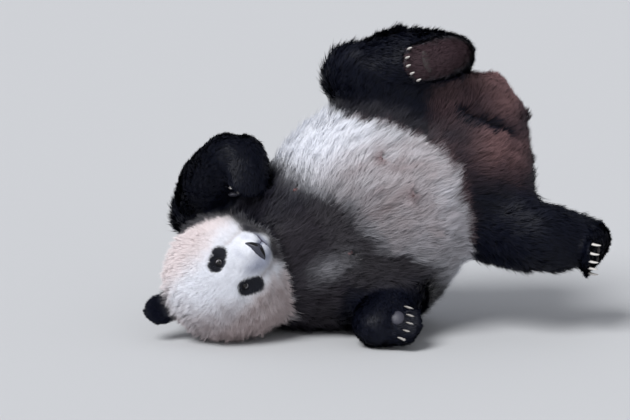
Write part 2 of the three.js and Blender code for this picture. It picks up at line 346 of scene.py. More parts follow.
# %% Finer faces on the face
FACE_FRONT, FACE_REACH = 25 * MM, 235 * MM  # how far out of the head and how far from its centre
with editing(skin, "DESELECT"):
    pass  # nothing may stay selected but the faces chosen below
face_places = to_head(read_rows(skin.data.polygons, "center", 3))
near_head = np.linalg.norm(face_places, axis=1) < FACE_REACH
skin.data.polygons.foreach_set("select", near_head & (face_places[:, 1] > FACE_FRONT))
with editing(skin):
    bpy.ops.mesh.subdivide(number_cuts=1, smoothness=0)
    bpy.ops.mesh.select_all(action="DESELECT")
apply_modifier(skin, "SMOOTH", factor=0.5, iterations=3)
shade_soft(skin.data)
print("skin faces with a finer face:", len(skin.data.polygons))

# %% [markdown]
# ## Which part of the body each point of skin belongs to
# The nearest face of the solids tells it. Values that differ from part to part, such as the coat's
# length, are given once for each part and then averaged with their neighbours, so they change softly.


# %% Parts of the body
def nearest_nodes(places):
    """For each place, which flesh node's surface is nearest."""
    corners, faces, owners = [], [], []
    for index, node in enumerate(FLESH):
        mesh = frame["nodes"][node].data
        first = len(corners)
        corners.extend(v.co.copy() for v in mesh.vertices)
        faces.extend([first + corner for corner in p.vertices] for p in mesh.polygons)
        owners.extend([index] * len(mesh.polygons))
    tree = BVHTree.FromPolygons(corners, faces)
    return np.array([owners[tree.find_nearest(Vector(p))[2]] for p in places])


outline = points_of(skin.data)  # the coat's tips reach this far
node_at = nearest_nodes(outline)
skin_edges = read_rows(skin.data.edges, "vertices", 2, int)
edge_from, edge_to = skin_edges.T
neighbours = np.maximum(np.bincount(skin_edges.ravel(), minlength=len(outline)), 1)


def soften(values, rounds, share=0.5):
    """Moves each point's value towards its neighbours' average, a number of times."""
    rows = np.array(np.atleast_2d(np.asarray(values, float).T))
    for _ in range(rounds):
        for row in rows:
            total = np.bincount(edge_from, row[edge_to], len(row))
            total += np.bincount(edge_to, row[edge_from], len(row))
            row += (total / neighbours - row) * share
    return rows.T if np.ndim(values) > 1 else rows[0]


def is_part(*words):
    """1 where a point belongs to a node with one of these words in its name, else 0."""
    chosen = [any(word in node for word in words) for node in FLESH]
    return np.array(chosen, float)[node_at]


# %% Calmer trunk and limbs
TRUNK_CALM, LIMB_CALM, CALM_ROUNDS = 0.9, 0.25, 95  # the creases between solids are ironed out
calm = soften(
    TRUNK_CALM * is_part("chest", "belly", "rump", "neck") + LIMB_CALM * is_part("arm", "thigh", "shank"), 12
)
calm *= 1 - soften(is_part("head", "paw", "ear"), 6)
outline = soften(outline, CALM_ROUNDS, share=calm)
move_points(skin.data, outline)
on_head = to_head(outline)
print("points of skin:", len(outline))

# %% [markdown]
# ## Length and rise of the coat
# A panda's coat is long and woolly on the trunk, shorter on the limbs, and very short on the muzzle
# and the toes. Each part has a length, a width of its locks and an angle at which they rise. How high
# the tips stand follows from these, and the skin is sunk below the outline by just that much.

# %% Coat of each part
COAT = {  # length and width of a lock in millimetres, and its rise from the skin in degrees
    "head": (26, 1.5, 38),
    "neck": (42, 2.7, 38),
    "chest": (40, 2.2, 32),
    "belly": (46, 2.0, 31),
    "rump": (40, 2.2, 32),
    "tail": (26, 3.0, 36),
    "ear": (15, 2.2, 36),
    "upper_arm": (36, 3.0, 30),
    "forearm": (30, 2.8, 30),
    "thigh": (38, 3.0, 30),
    "shank": (32, 2.8, 30),
    "forepaw": (16, 2.2, 28),
    "hindpaw": (17, 2.2, 28),
}
FACE_COAT, MUZZLE_COAT = (11, 1.6, 30), (6, 1.3, 24)
NIPPLE_CLEARING, SHORTER_THERE = 30 * MM, 0.6
SUNK_SHARE = 0.95  # the skin is sunk by this share of the tips' height


def coat_of(node):
    """The coat's three values for a node."""
    return next(values for part, values in COAT.items() if part in node)


def rise_of(angle):
    """How high a lock's tip stands, as a share of its length. Its outer half lies flatter."""
    return (np.sin(np.radians(angle)) + np.sin(np.radians(angle / 2))) / 2


def bell(distance, size):
    """1 where a distance is 0, falling off softly over one size."""
    return np.exp(-((distance / size) ** 2))


# %% Coat at each point of skin
coat = np.array([coat_of(node) for node in FLESH], float)[node_at]
eye_places = [to_head(middle(f"eye_{side}")) for side in SIDES]
from_eyes = np.min([np.linalg.norm(on_head - eye, axis=1) for eye in eye_places], axis=0)
from_nose = np.linalg.norm(on_head - to_head(middle("nose")), axis=1)
face_share = np.maximum(
    smooth_step(150 * MM, 60 * MM, from_nose), smooth_step(95 * MM, 45 * MM, from_eyes)
) * is_part("head")
muzzle_share = is_part("head") * smooth_step(75 * MM, 40 * MM, from_nose)
for share, values in ((face_share, FACE_COAT), (muzzle_share, MUZZLE_COAT)):
    coat += share[:, None] * (np.array(values) - coat)
for nipple in NIPPLES:
    near_nipple = bell(from_nipple(outline, *nipple), NIPPLE_CLEARING) * (outline[:, 1] < belly_middle[1])
    coat[:, 0] *= 1 - SHORTER_THERE * near_nipple
coat = soften(coat, 14)
lock_length, lock_width, lock_rise = coat[:, 0] * MM, coat[:, 1] * MM, coat[:, 2]
coat_depth = lock_length * rise_of(lock_rise) * SUNK_SHARE
print("coat depth in mm:", np.round(coat_depth.min() / MM, 1), "to", np.round(coat_depth.max() / MM, 1))

# %% Sink the skin below the tips
SINK_STEPS = 4
for _ in range(SINK_STEPS):
    swell(skin, -(coat_depth + OVERLAP) / SINK_STEPS)
    apply_modifier(skin, "SMOOTH", factor=0.3, iterations=1)
low, high = points_of(skin.data).min(axis=0), points_of(skin.data).max(axis=0)
print("skin from", np.round(low, 3), "to", np.round(high, 3))

# %% [markdown]
# ## Modelling the skin
# The solids give the large forms. A sculptor would now press and raise the skin with a soft brush. On
# the face that makes the eye sockets, the step from forehead to muzzle, the pads that carry the
# whiskers, the groove of the mouth and the crease where the muzzle meets the cheek. On the body, the
# lump over the tail folds against the rump in a deep crease, and the flank comes up to meet the arm.
# Each dab below is such a stroke, with a place, a size, and how far it raises the skin, in millimetres.

# %% Dabs on the face
FACE_DABS = (  # across, forward and up on the head, size, and rise. Each is made on both sides
    (48, 132, 24, 15, -3.5),  # socket
    (52, 122, 52, 15, 4.0),  # brow
    (0, 150, 18, 22, -5.0),  # step between the eyes
    (26, 174, -70, 16, 5.0),  # whisker pad
    (0, 184, -70, 7, -3.5),  # cleft under the nose
    (0, 186, -33, 11, 3.0),  # rim over the nose
    (62, 147, -24, 12, -4.0),  # crease behind the muzzle
    (64, 145, -44, 13, -6.0),
    (58, 142, -66, 13, -7.0),
    (48, 142, -88, 12, -6.0),
    (44, 164, -40, 16, 3.5),  # side of the muzzle
    (84, 120, -22, 24, 5.0),  # cheekbone
    (92, 100, -62, 30, 7.0),  # cheek
    (0, 160, -104, 15, 3.0),  # chin
    (34, 158, -92, 9, -3.0),  # mouth's corner
)


def dab(places, centre, size, height):
    """How far one stroke of a soft round brush raises each place. Centre, size and height are in mm."""
    return bell(np.linalg.norm(places - np.array(centre) * MM, axis=1), size * MM) * height * MM


face_places = to_head(points_of(skin.data))
face_rise = np.zeros(len(face_places))
for across, forward, up, size, height in FACE_DABS:
    for side in (-1, 1):
        once = 0.5 if across == 0 else 1
        face_rise += dab(face_places, (side * across, forward, up), size, height) * once
swell(skin, face_rise)
print("face modelled by mm:", np.round(face_rise.min() / MM, 1), "to", np.round(face_rise.max() / MM, 1))

# %% Crease over the tail and edge of the flank
TAIL_CREASE = ((0.225, -0.062, 0.598), (0.350, -0.035, 0.545))  # the ends of the crease
CREASE_DEPTH, CREASE_WIDTH = 20 * MM, 16 * MM
FLANK_DABS = (  # place in the solids' frame, size and rise, in mm
    ((-262, 10, 470), 55, 20),  # the flank comes up to the arm
    ((-184, 10, 565), 50, -15),  # and slopes more evenly above it
)


def from_line(places, start, end):
    """How far places lie from the straight line between two places."""
    start, way = np.asarray(start), np.subtract(end, start)
    share = np.clip((places - start) @ way / (way @ way), 0, 1)
    return np.linalg.norm(places - start - share[:, None] * way, axis=1)


swell(skin, -CREASE_DEPTH * bell(from_line(points_of(skin.data), *TAIL_CREASE), CREASE_WIDTH))
for centre, size, height in FLANK_DABS:
    swell(skin, dab(points_of(skin.data), centre, size, height))
skin_tree = BVHTree.FromPolygons(
    [Vector(p) for p in points_of(skin.data)], [list(f.vertices) for f in skin.data.polygons]
)
print("crease pressed in by", CREASE_DEPTH / MM, "mm")


# %% Helpers for separate pieces
def turned(places, facing, top):
    """Places round the origin, turned so that their +Z lies along facing and their +Y to the top."""
    z_axis = unit(facing)
    x_axis = unit(np.cross(top, z_axis))
    return places @ np.array([x_axis, np.cross(z_axis, x_axis), z_axis])


def seat(piece, place, facing, top):
    """Sets a piece made at the origin on the head, by a place, a facing and a top given there."""
    move_points(piece.data, from_head(turned(points_of(piece.data), facing, top) + np.asarray(place)))


def new_piece(name, slot, *nodes):
    """Names the active object and ties it to the body, its finish and the solids it stands for."""
    piece = bpy.context.object
    piece.name = piece.data.name = name
    shade_soft(piece.data)
    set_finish(piece, slot)
    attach(piece, "root")
    if nodes:
        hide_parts(*nodes)
    return piece


def add_value(mesh, name, values):
    """Stores one number for each point of a mesh."""
    attribute = mesh.attributes.new(name, "FLOAT", "POINT")
    attribute.data.foreach_set("value", np.asarray(values, np.float32))


def on_skin(place, from_way):
    """Where a line into the body meets the skin, from a place on the head's frame."""
    start = from_head(np.asarray(place) + np.asarray(from_way) * 0.1)
    way = -unit(np.asarray(from_way) @ head_axes)
    return np.array(skin_tree.ray_cast(Vector(start), Vector(way))[0])


# %% [markdown]
# ## Eyes
# A panda's eyes are small, dark and wet, with hardly any white. Each is a ball whose pole points along
# the gaze, so rings of its mesh are rings round the pupil, and the clear front swells a little. Lids of
# bare black skin run round it as an almond-shaped rim. Hair must stay off the bare places, so these are
# kept in a list that the coat reads later.

# %% Eyes
EYE_RADIUS = 11.4 * MM
EYE_SHIFTS = {"left": (4, 0, -2), "right": (0, -1, -6)}  # the finished eyes sit this far from the solids
LID_RADIUS, LID_THICKNESS, LID_CORNER = 9.6 * MM, 2.9 * MM, 12 * MM
bare_balls = []  # places without hair, in the solids' frame, and how wide they are
eyes, lids = [], []
for side, sign in zip(SIDES, (-1, 1)):
    eye_place = to_head(middle(f"eye_{side}")) + np.array(EYE_SHIFTS[side]) * MM
    bpy.ops.mesh.primitive_uv_sphere_add(segments=48, ring_count=32, radius=EYE_RADIUS)
    eye = new_piece(f"eyeball_{side}", "wet_eye", f"eye_{side}")
    ball = points_of(eye.data)
    off_gaze = np.arccos(np.clip(ball[:, 2] / EYE_RADIUS, -1, 1))
    move_points(eye.data, ball * (1 + 0.05 * smooth_step(0.65, 0.3, off_gaze))[:, None])
    add_value(eye.data, "off_gaze", off_gaze)
    gaze = (sign * 0.12, 0.9, 0.36)
    seat(eye, eye_place, gaze, (0, 0, 1))
    eyes.append(eye)
    bare_balls.append((from_head(eye_place + unit(gaze) * 9 * MM), 10 * MM))

    bpy.ops.mesh.primitive_torus_add(
        major_radius=LID_RADIUS, minor_radius=LID_THICKNESS, major_segments=48, minor_segments=14
    )
    lid = new_piece(f"lids_{side}", "bare_leather")
    with editing(lid, "SELECT"):
        bpy.ops.transform.resize(value=(1.14, 0.9, 1.1))
    rim = points_of(lid.data)
    corner = np.clip(np.abs(rim[:, 0]) / LID_CORNER, 0, 1)
    rim[:, 1] *= 1 - 0.35 * corner**3  # the lids draw together in the corners
    rim[:, 2] -= 2.6 * MM * corner**2
    rim *= 1 + 0.02 * np.sin(rim[:, :1] / MM * 1.7)
    move_points(lid.data, rim)
    apply_modifier(lid, "SUBSURF", levels=1, render_levels=1)
    facing = (sign * 0.3, 0.92, 0.24)
    seat(lid, eye_place + unit(facing) * 7.6 * MM, facing, (sign * 0.35, 0, 1))
    lids.append(lid)
print("eyes at", [np.round(to_head(points_of(e.data).mean(axis=0)) / MM, 1).tolist() for e in eyes])

# %% [markdown]
# ## Nose
# The nose is a wide leathery pad with two wings, each over a comma-shaped nostril that opens along its
# lower edge. A cube is divided, rounded into a ball and flattened. The wings sweep back and narrow,
# the nostrils are inset and pushed in, and a groove runs down the middle.

# %% Nose leather
NOSE_HALF = np.array([35, 12.5, 12]) * MM  # across, up the face, and out of it
NOSE_MIDDLE = np.array([4, 185, -53]) * MM
NOSE_FACING, NOSE_TOP = (0, 0.99, -0.14), (0.10, 0.14, 0.98)
WING_RISE, WING_SWEEP = 5 * MM, 12 * MM
GROOVE_WIDTH, GROOVE_DEPTH = 2.4 * MM, 2 * MM
bpy.ops.mesh.primitive_cube_add(size=2)
nose = new_piece("nose_leather", "bare_leather", "nose")
with editing(nose, "SELECT"):
    bpy.ops.mesh.subdivide(number_cuts=13)
    bpy.ops.transform.tosphere(value=0.92)
form = points_of(nose.data)
form *= NOSE_HALF / np.abs(form).max(axis=0)
wing = np.abs(form[:, 0]) / NOSE_HALF[0]
form[:, 1] *= 1 - 0.5 * wing**1.5 + 0.22 * bell(wing, 0.3) * (form[:, 1] < 0)
form[:, 1] += WING_RISE * wing**2
form[:, 2] -= WING_SWEEP * wing**2
groove = bell(form[:, 0], GROOVE_WIDTH) * smooth_step(1 * MM, -6 * MM, form[:, 1])
form[:, 2] -= GROOVE_DEPTH * groove * (form[:, 2] > 0)
move_points(nose.data, form)
print("nose faces:", len(nose.data.polygons))

# %% Nostrils
NOSTRIL_OUT, NOSTRIL_UP, NOSTRIL_SLANT = 17.5 * MM, 1.4 * MM, math.radians(9)
NOSTRIL_LONG, NOSTRIL_WIDE, NOSTRIL_DEEP = 14 * MM, 3.9 * MM, 7 * MM


def inside_nostril(points, sign):
    """How far points lie from the middle of a nostril on one side: 1 at its edge."""
    out, rise = points[:, 0] * sign - NOSTRIL_OUT, points[:, 1] - NOSTRIL_UP
    along_slit = out * math.cos(NOSTRIL_SLANT) + rise * math.sin(NOSTRIL_SLANT)
    across_slit = rise * math.cos(NOSTRIL_SLANT) - out * math.sin(NOSTRIL_SLANT)
    wide = NOSTRIL_WIDE * (1 - 0.35 * along_slit / NOSTRIL_LONG)
    return (along_slit / NOSTRIL_LONG) ** 2 + (across_slit / wide) ** 2


for sign in (-1, 1):
    facing_out = read_rows(nose.data.polygons, "normal", 3)[:, 2] > 0.05
    in_slit = facing_out & (inside_nostril(read_rows(nose.data.polygons, "center", 3), sign) < 1)
    nose.data.polygons.foreach_set("select", in_slit)
    with editing(nose):
        bpy.ops.mesh.inset(thickness=0.7 * MM)
        bpy.ops.mesh.extrude_region_move(TRANSFORM_OT_translate={"value": (0, 1 * MM, -NOSTRIL_DEEP)})
        bpy.ops.mesh.select_all(action="DESELECT")
    print("nostril faces:", int(in_slit.sum()))
apply_modifier(nose, "SUBSURF", levels=1, render_levels=1)
form = points_of(nose.data)
inside_slit = np.minimum(inside_nostril(form, 1), inside_nostril(form, -1))
# The inside of each nostril is marked as hollow, and its leather paints it black as shade.
add_value(nose.data, "hollow", smooth_step(1.3, 0.85, inside_slit) * (form[:, 2] > -9 * MM))
seat(nose, NOSE_MIDDLE, NOSE_FACING, NOSE_TOP)
for share in np.linspace(-0.88, 0.88, 13):
    bare_place = (share * NOSE_HALF[0], -WING_SWEEP * share**2, WING_RISE * share**2)
    bare_balls.append((from_head(NOSE_MIDDLE + bare_place), (12.5 - 5.5 * abs(share)) * MM))

# %% [markdown]
# ## Mouth
# From the nose a short cleft runs down to the mouth, which is a thin dark line that follows the upper
# lip round the muzzle. Both are drawn as lines on the skin, given a slim round section that thins
# out at its ends, and let half into the skin.


# %% Mouth line and cleft
def lip(name, line, radius):
    """A thin round cord of bare lip along a line on the skin of the muzzle."""
    curve = bpy.data.curves.new(name, "CURVE")
    curve.dimensions = "3D"
    curve.bevel_depth = radius
    curve.bevel_resolution = 3
    curve.use_fill_caps = True
    spline = curve.splines.new("NURBS")
    spline.points.add(len(line) - 1)
    spline.use_endpoint_u = True
    spline.order_u = 4
    for index, (point, place) in enumerate(zip(spline.points, line)):
        point.co = (*place, 1)
        point.radius = 0.35 + 0.65 * math.sin(math.pi * index / (len(line) - 1)) ** 0.5
    only(in_scene(name, curve))
    bpy.ops.object.convert(target="MESH")
    return new_piece(name, "bare_leather")


MOUTH_HALF, MOUTH_UP, MOUTH_DROP = 44 * MM, -73 * MM, 17 * MM
CLEFT_TOP = -60 * MM
mouth_line = []
for share in np.linspace(-1, 1, 25):
    droop = MOUTH_DROP * abs(share) ** 1.3
    forward_way = unit(np.array([share * 0.75, 1, -0.35]))
    across = share * MOUTH_HALF - 1 * MM
    mouth_line.append(on_skin((across, 150 * MM, MOUTH_UP - droop), forward_way))
cleft_line = [on_skin((0, 160 * MM, up), (0, 1, -0.4)) for up in np.linspace(CLEFT_TOP, MOUTH_UP, 7)]
mouth = lip("mouth_line", mouth_line, 2.6 * MM)
cleft = lip("nose_cleft", cleft_line, 1.5 * MM)
bare_balls.extend((place, 2.2 * MM) for place in mouth_line[1:-1] + cleft_line)
print("mouth line of", len(mouth_line), "points")

# %% [markdown]
# ## Claws
# Each paw has five claws of pale horn. The solids give each claw's place and curve with few faces. The
# claws of a paw are copied, joined and rounded by a subdivision surface, and each point stores how far
# it is along its claw, because real claws are grey at the root and pale at the tip. On the forepaws
# hair hides most of each claw, so these claws are drawn back into it.

# %% Claws
TUCKED_IN = {"left_forepaw": (0, 24, -7), "right_forepaw": (2, 9, -6)}  # how far they are drawn back, in mm


def claws_of(paw):
    """The five claws of a paw as one rounded piece."""
    pieces = [merged_copy(node, "claw") for node in claws[paw]]
    for claw in pieces:
        apply_modifier(claw, "SUBSURF", levels=2, render_levels=2)
        reach = np.linalg.norm(points_of(claw.data) - middle(paw), axis=1)
        add_value(claw.data, "along", (reach - reach.min()) / np.ptp(reach))
    joined = join(pieces, f"claws_{paw}")
    joined.data.materials.clear()
    if paw in TUCKED_IN:
        move_points(joined.data, points_of(joined.data) + np.array(TUCKED_IN[paw]) * MM)
    return new_piece(f"claws_{paw}", "claw_horn", *claws[paw])


claw_pieces = [claws_of(paw) for paw in PAWS]
print("claws:", [len(piece.data.polygons) for piece in claw_pieces])

# %% [markdown]
# ## Pads of the paws
# Under each paw lies a wide bare pad, with a smaller one under each toe and, on a forepaw, one more on
# the wrist bone that a panda uses as a thumb. Each pad starts as a ball, is pressed flat onto the skin
# under the paw, and the pads of a paw are joined. The forepaws' palms are bare. Hair grows over the
# other pads.

# %% Pads
SOLES = {  # the way each sole faces, in the solids' frame
    "left_forepaw": (-0.35, 0.6, -0.72),
    "right_forepaw": (-0.3, -0.76, 0.58),
    "left_hindpaw": (0.2, -0.93, 0.3),
    "right_hindpaw": (0.95, -0.28, -0.1),
}


def pads_of(paw):
    """All the pads of a paw as one piece."""
    sole = unit(SOLES[paw])
    forward = unit(toes[paw] - middle(paw))
    forward = unit(forward - sole * (forward @ sole))
    across = np.cross(forward, sole)

    def pad_at(start, shift, size):
        """A pad pressed onto the skin, by a start, a shift ahead, aside and out, and a size in mm."""
        place = start + shift @ np.array([forward, across, sole]) * MM
        hit, normal, _, _ = skin_tree.find_nearest(Vector(place))
        normal = unit(unit(np.array(normal)) + sole)
        bpy.ops.mesh.primitive_uv_sphere_add(segments=24, ring_count=14, radius=1)
        pad = bpy.context.object
        ball = points_of(pad.data)
        ball[:, 2] = np.sign(ball[:, 2]) * np.abs(ball[:, 2]) ** 1.25
        ball = turned(ball * size * MM, normal, forward)
        move_points(pad.data, ball + np.array(hit) + normal * size[2] * MM * 0.3)
        return pad

    pads = [pad_at(middle(node), (-17, 0, 22), (7, 8.5, 2.5)) for node in claws[paw]]
    if "fore" in paw:
        pads.append(pad_at(toes[paw], (-14, -12, 40), (20, 20, 9)))
        bare_balls.extend((place, 3.5 * MM) for place in points_of(pads[-1].data)[::9])
        pads.append(pad_at(toes[paw], (-92, 26, 40), (10, 11, 3)))
    else:
        pads.append(pad_at(toes[paw], (-34, 0, 40), (30, 12, 4)))
    join(pads, f"pads_{paw}")
    return new_piece(f"pads_{paw}", "bare_leather")


pad_pieces = [pads_of(paw) for paw in PAWS]
print("pads:", [len(piece.data.polygons) for piece in pad_pieces])

# %% [markdown]
# ## Nipples
# Two pairs of nipples show through the thin hair of the belly, each a small dark pink knob in a
# darker patch.

# %% Nipples
NIPPLE_SIZE = 7.5 * MM
knobs = []
for station, height in NIPPLES:
    start = belly_middle + (along_trunk * station + across_trunk * height) * MM - np.array([0, 1, 0])
    hit, normal, _, _ = skin_tree.ray_cast(Vector(start), Vector((0, 1, 0)))
    bpy.ops.mesh.primitive_uv_sphere_add(segments=24, ring_count=16, radius=NIPPLE_SIZE)
    knob = bpy.context.object
    ball = points_of(knob.data)
    ball[:, 2] = np.abs(ball[:, 2]) ** 0.8 * np.sign(ball[:, 2]) * NIPPLE_SIZE**0.2 * 1.5
    ball[:, :2] *= 1 - 0.25 * smooth_step(0, NIPPLE_SIZE, ball[:, 2:])
    move_points(knob.data, turned(ball, normal, (0, 0, 1)) + np.array(hit))
    knobs.append(knob)
    bare_balls.append((np.array(hit), 11 * MM))
join(knobs, "nipples")
nipples = new_piece("nipples", "bare_leather")
print("nipples:", len(knobs), "bare places:", len(bare_balls))

# %% [markdown]
# ## Markings
# A giant panda is white with black ears, eye patches, legs, arms and a band over the shoulders. This
# one's belly is thin-haired and greyish, and its rump and groin are stained brown. Some markings also
# hold painted light and shade, on the belly, the rump and the head. Each marking is a value from 0 to 1
# at every point of the skin. The skin and the coat both read these values, and an uneven edge, made of a
# few slow waves, keeps the borders from being straight.


# %% Uneven edges
def wobble(places, size, seed):
    """A slow uneven value from -1 to 1, with waves about one size long."""
    dice = np.random.default_rng(seed)
    total = np.zeros(len(places))
    for _ in range(7):
        direction = unit(dice.normal(size=3)) * dice.uniform(0.7, 1.6) / size
        total += np.sin(places @ direction * 2 * math.pi + dice.uniform(0, 7))
    return total / 4


def nearest(targets, places):
    """For each place, the number of the nearest target and how far away that is."""
    tree = KDTree(len(targets))
    for index, target in enumerate(targets):
        tree.insert(target, index)
    tree.balance()
    found = [tree.find(place) for place in places]
    return np.array([index for _, index, _ in found]), np.array([distance for _, _, distance in found])


skin_places = points_of(skin.data)
skin_normals = normals_of(skin.data)
trunk_station, trunk_height = on_trunk(skin_places)
skin_x, skin_y, skin_z = skin_places.T
behind = skin_y - belly_middle[1]
in_front = behind < 0
facing_front = smooth_step(0.1, 0.7, -skin_normals[:, 1])
rough_edge = wobble(skin_places, 0.09, 3) * 0.6 + wobble(skin_places, 0.03, 4) * 0.4
print("uneven edge from", round(float(rough_edge.min()), 2), "to", round(float(rough_edge.max()), 2))


def spot(station, height, long, wide):
    """1 at a place on the trunk, falling off softly along and across it."""
    return np.exp(-(((trunk_station - station) / long) ** 2) - ((trunk_height - height) / wide) ** 2)


# %% [markdown]
# The band runs over the shoulders and down the chest, and its long hair hangs over the belly as a
# thinner skirt. It ends at the head, but on the throat the black runs a little way up under the chin.

# %% Band and throat
BAND_EDGE, BAND_SOFT = -0.034, 0.045  # how far along the trunk the band reaches, and how softly it ends
band_edge = BAND_EDGE - 0.15 * smooth_step(0.06, 0.28, trunk_height)
band_edge += 0.10 * smooth_step(-0.03, -0.14, trunk_height)
band_edge += (-0.17 - band_edge) * smooth_step(-0.02, 0.12, behind)
in_band = band_edge - trunk_station
band = smooth_step(-BAND_SOFT, BAND_SOFT, in_band + rough_edge * 0.025)
skirt = smooth_step(-0.15, 0, in_band + rough_edge * 0.02) * smooth_step(0.20, 0.14, trunk_height)
band = np.maximum(band, 0.34 * skirt * in_front)
nape = smooth_step(0.02, 0.10, behind)  # the white of the neck runs on behind the head
from_head_centre = np.linalg.norm(on_head, axis=1) + rough_edge * 0.008
band *= 1 - smooth_step(0.172 + 0.10 * nape, 0.150 + 0.07 * nape, from_head_centre)
band *= 1 - 0.35 * spot(-0.185, -0.03, 0.045, 0.025) * in_front  # a pale wisp
across_head, under_head = np.abs(on_head[:, 0]), on_head @ (0, 0.43, -0.9)
falls_off = np.where(on_head[:, 0] > 0, 4, 15)  # the head leans on its right cheek
throat_edge = 0.138 + 0.028 * bell(across_head, 0.035)
throat_edge -= falls_off * np.maximum(across_head - 0.08, 0) ** 2
throat = smooth_step(-0.008, 0.008, under_head - throat_edge + rough_edge * 0.004) * is_part("head", "neck")
print("band share:", round(float(band.mean()), 3), "throat share:", round(float(throat.mean()), 3))

# %% [markdown]
# Arms, legs and ears are black all round. Where two parts meet, the longer hair hangs over the other
# part: the white flank's over the lower thigh, and the upper thigh's black over the belly.

# %% Black limbs and ears
LOWER_LEG_FRINGE = 0.238  # the white flank's hair hangs over the lower thigh as far as this
THIGH_OVERHANG = 0.055
arms_black = soften(is_part("arm", "forepaw", "ear"), 5)
legs_black = soften(is_part("thigh", "shank", "hindpaw"), 5)
legs_black[(is_part("right_thigh") > 0) & (skin_x < LOWER_LEG_FRINGE)] = 0
limbs_black = smooth_step(0.3, 0.7, legs_black + rough_edge * 0.12)
limbs_black = np.maximum(limbs_black, smooth_step(0.02, 0.25, arms_black + rough_edge * 0.04))
_, from_thigh = nearest(skin_places[is_part("left_thigh") > 0], skin_places)
hangs_over = THIGH_OVERHANG * smooth_step(-0.22, -0.09, skin_x)
overhang = smooth_step(0.008, -0.008, from_thigh + rough_edge * 0.008 - hangs_over)
limbs_black = np.maximum(limbs_black, overhang * in_front)
print("share of black limbs:", round(float(limbs_black.mean()), 3))

# %% [markdown]
# The groin, the tail and the rump are stained brown. Painted light makes the brown paler on the rump's
# round parts, and painted shade darkens it low down and in the crease over the tail. Towards the groin
# it is darker. Hair that covers the crease is rooted a little upstream of it.

# %% Dark groin and brown rump
groin_edge = 0.224 - 0.19 * smooth_step(0.06, 0.34, trunk_height) - 0.03 * smooth_step(0, -0.1, trunk_height)
groin = smooth_step(-0.035, 0.035, trunk_station - groin_edge + rough_edge * 0.022)
groin *= smooth_step(0.17, 0.11, skin_y + rough_edge * 0.02)
inner_thigh = smooth_step(0.07, 0.17, skin_x) * smooth_step(0.08, -0.02, skin_y)
groin *= is_part("belly", "rump", "right_thigh", "tail") + is_part("left_thigh") * inner_thigh
groin = soften(np.maximum(groin, is_part("tail") * 0.9), 2)
# Painted light: the brown is paler on the round parts of the rump, where light falls.
RUMP_PAINTED_LIGHT = (  # place along and up, size, and how much paler the brown is there
    (0.335, 0.630, 0.065, 0.90),
    (0.282, 0.680, 0.058, 0.95),
    (0.290, 0.510, 0.055, 0.85),
    (0.345, 0.475, 0.050, 0.60),
    (0.170, 0.640, 0.070, 0.30),
)
painted_light_on_rump = np.max(
    [amount * bell(np.hypot(skin_x - x, skin_z - z), size) for x, z, size, amount in RUMP_PAINTED_LIGHT], axis=0
)
streak = wobble(skin_places * np.array([0.45, 1, 1]), 0.035, 9)
crease_roots = skin_places + along_trunk * 14 * MM
# Painted shade in the crease over the tail, and low down on the rump.
painted_shade_in_crease = smooth_step(34 * MM, 16 * MM, from_line(crease_roots, *TAIL_CREASE) + rough_edge * 5 * MM)
painted_shade_low_down = smooth_step(0.48, 0.38, skin_z)
brown_dark_and_shading = 0.88 + 0.12 * painted_shade_low_down - painted_light_on_rump * (1.15 + 0.35 * streak) + 0.10 * streak * (1 - painted_shade_low_down)
brown_dark_and_shading = np.maximum(np.clip(brown_dark_and_shading, 0, 1), painted_shade_in_crease)
brown_dark_and_shading = np.maximum(brown_dark_and_shading, smooth_step(0.17, 0.10, skin_x))
near_groin = smooth_step(0.02, 0.3, soften(groin, 12))
brown = smooth_step(0.2, 0.7, limbs_black * near_groin + groin)
black = limbs_black * (1 - groin) + groin * brown_dark_and_shading
band_and_throat = np.maximum(band * is_part("chest", "belly", "neck"), soften(throat, 1))
black = np.maximum(black, band_and_throat * (1 - groin))
left_sole = is_part("left_hindpaw") * smooth_step(0.1, 0.7, skin_normals @ unit(SOLES["left_hindpaw"]))
brown = np.maximum(brown, left_sole)
black = black * (1 - 0.28 * soften(left_sole, 2))
print("groin share:", round(float(groin.mean()), 3))

# %% [markdown]
# The eye patches hang outwards from the eyes like drops. Their outline is squarer than an oval.

# %% Eye patches
PATCHES = (  # across and up on the head, half width and half length in mm, and tilt from upright
    (-51, 22, 17.2, 33.8, -31),
    (58.6, 13.5, 18.5, 34, 30),
)
PATCH_SQUARENESS = 2.8  # 2 would make an oval
front_of_face = (on_head[:, 1] > 40 * MM) * is_part("head")
for patch_across, patch_up, wide, long, tilt in PATCHES:
    across, up = on_head[:, 0] - patch_across * MM, on_head[:, 2] - patch_up * MM
    cos, sin = math.cos(math.radians(tilt)), math.sin(math.radians(tilt))
    wide_way = np.abs(across * cos + up * sin) / (wide * MM)
    long_way = np.abs(up * cos - across * sin) / (long * MM)
    reach = (long_way**PATCH_SQUARENESS + wide_way**PATCH_SQUARENESS) ** (1 / PATCH_SQUARENESS)
    black = np.maximum(black, smooth_step(1.08, 0.94, reach + rough_edge * 0.05) * front_of_face)
print("black share of the skin:", round(float(black.mean()), 3))

# %% [markdown]
# The belly's hair is thin, so grey skin shows through it, most of all in its middle, where the hair is
# also stained a warm brown. The grey is partly painted shade too, deeper low on the trunk, on the side
# that faces the front. Next to the lower leg and low on the belly, painted shade gives it a cool tint.
# Round each nipple lies a brown patch.

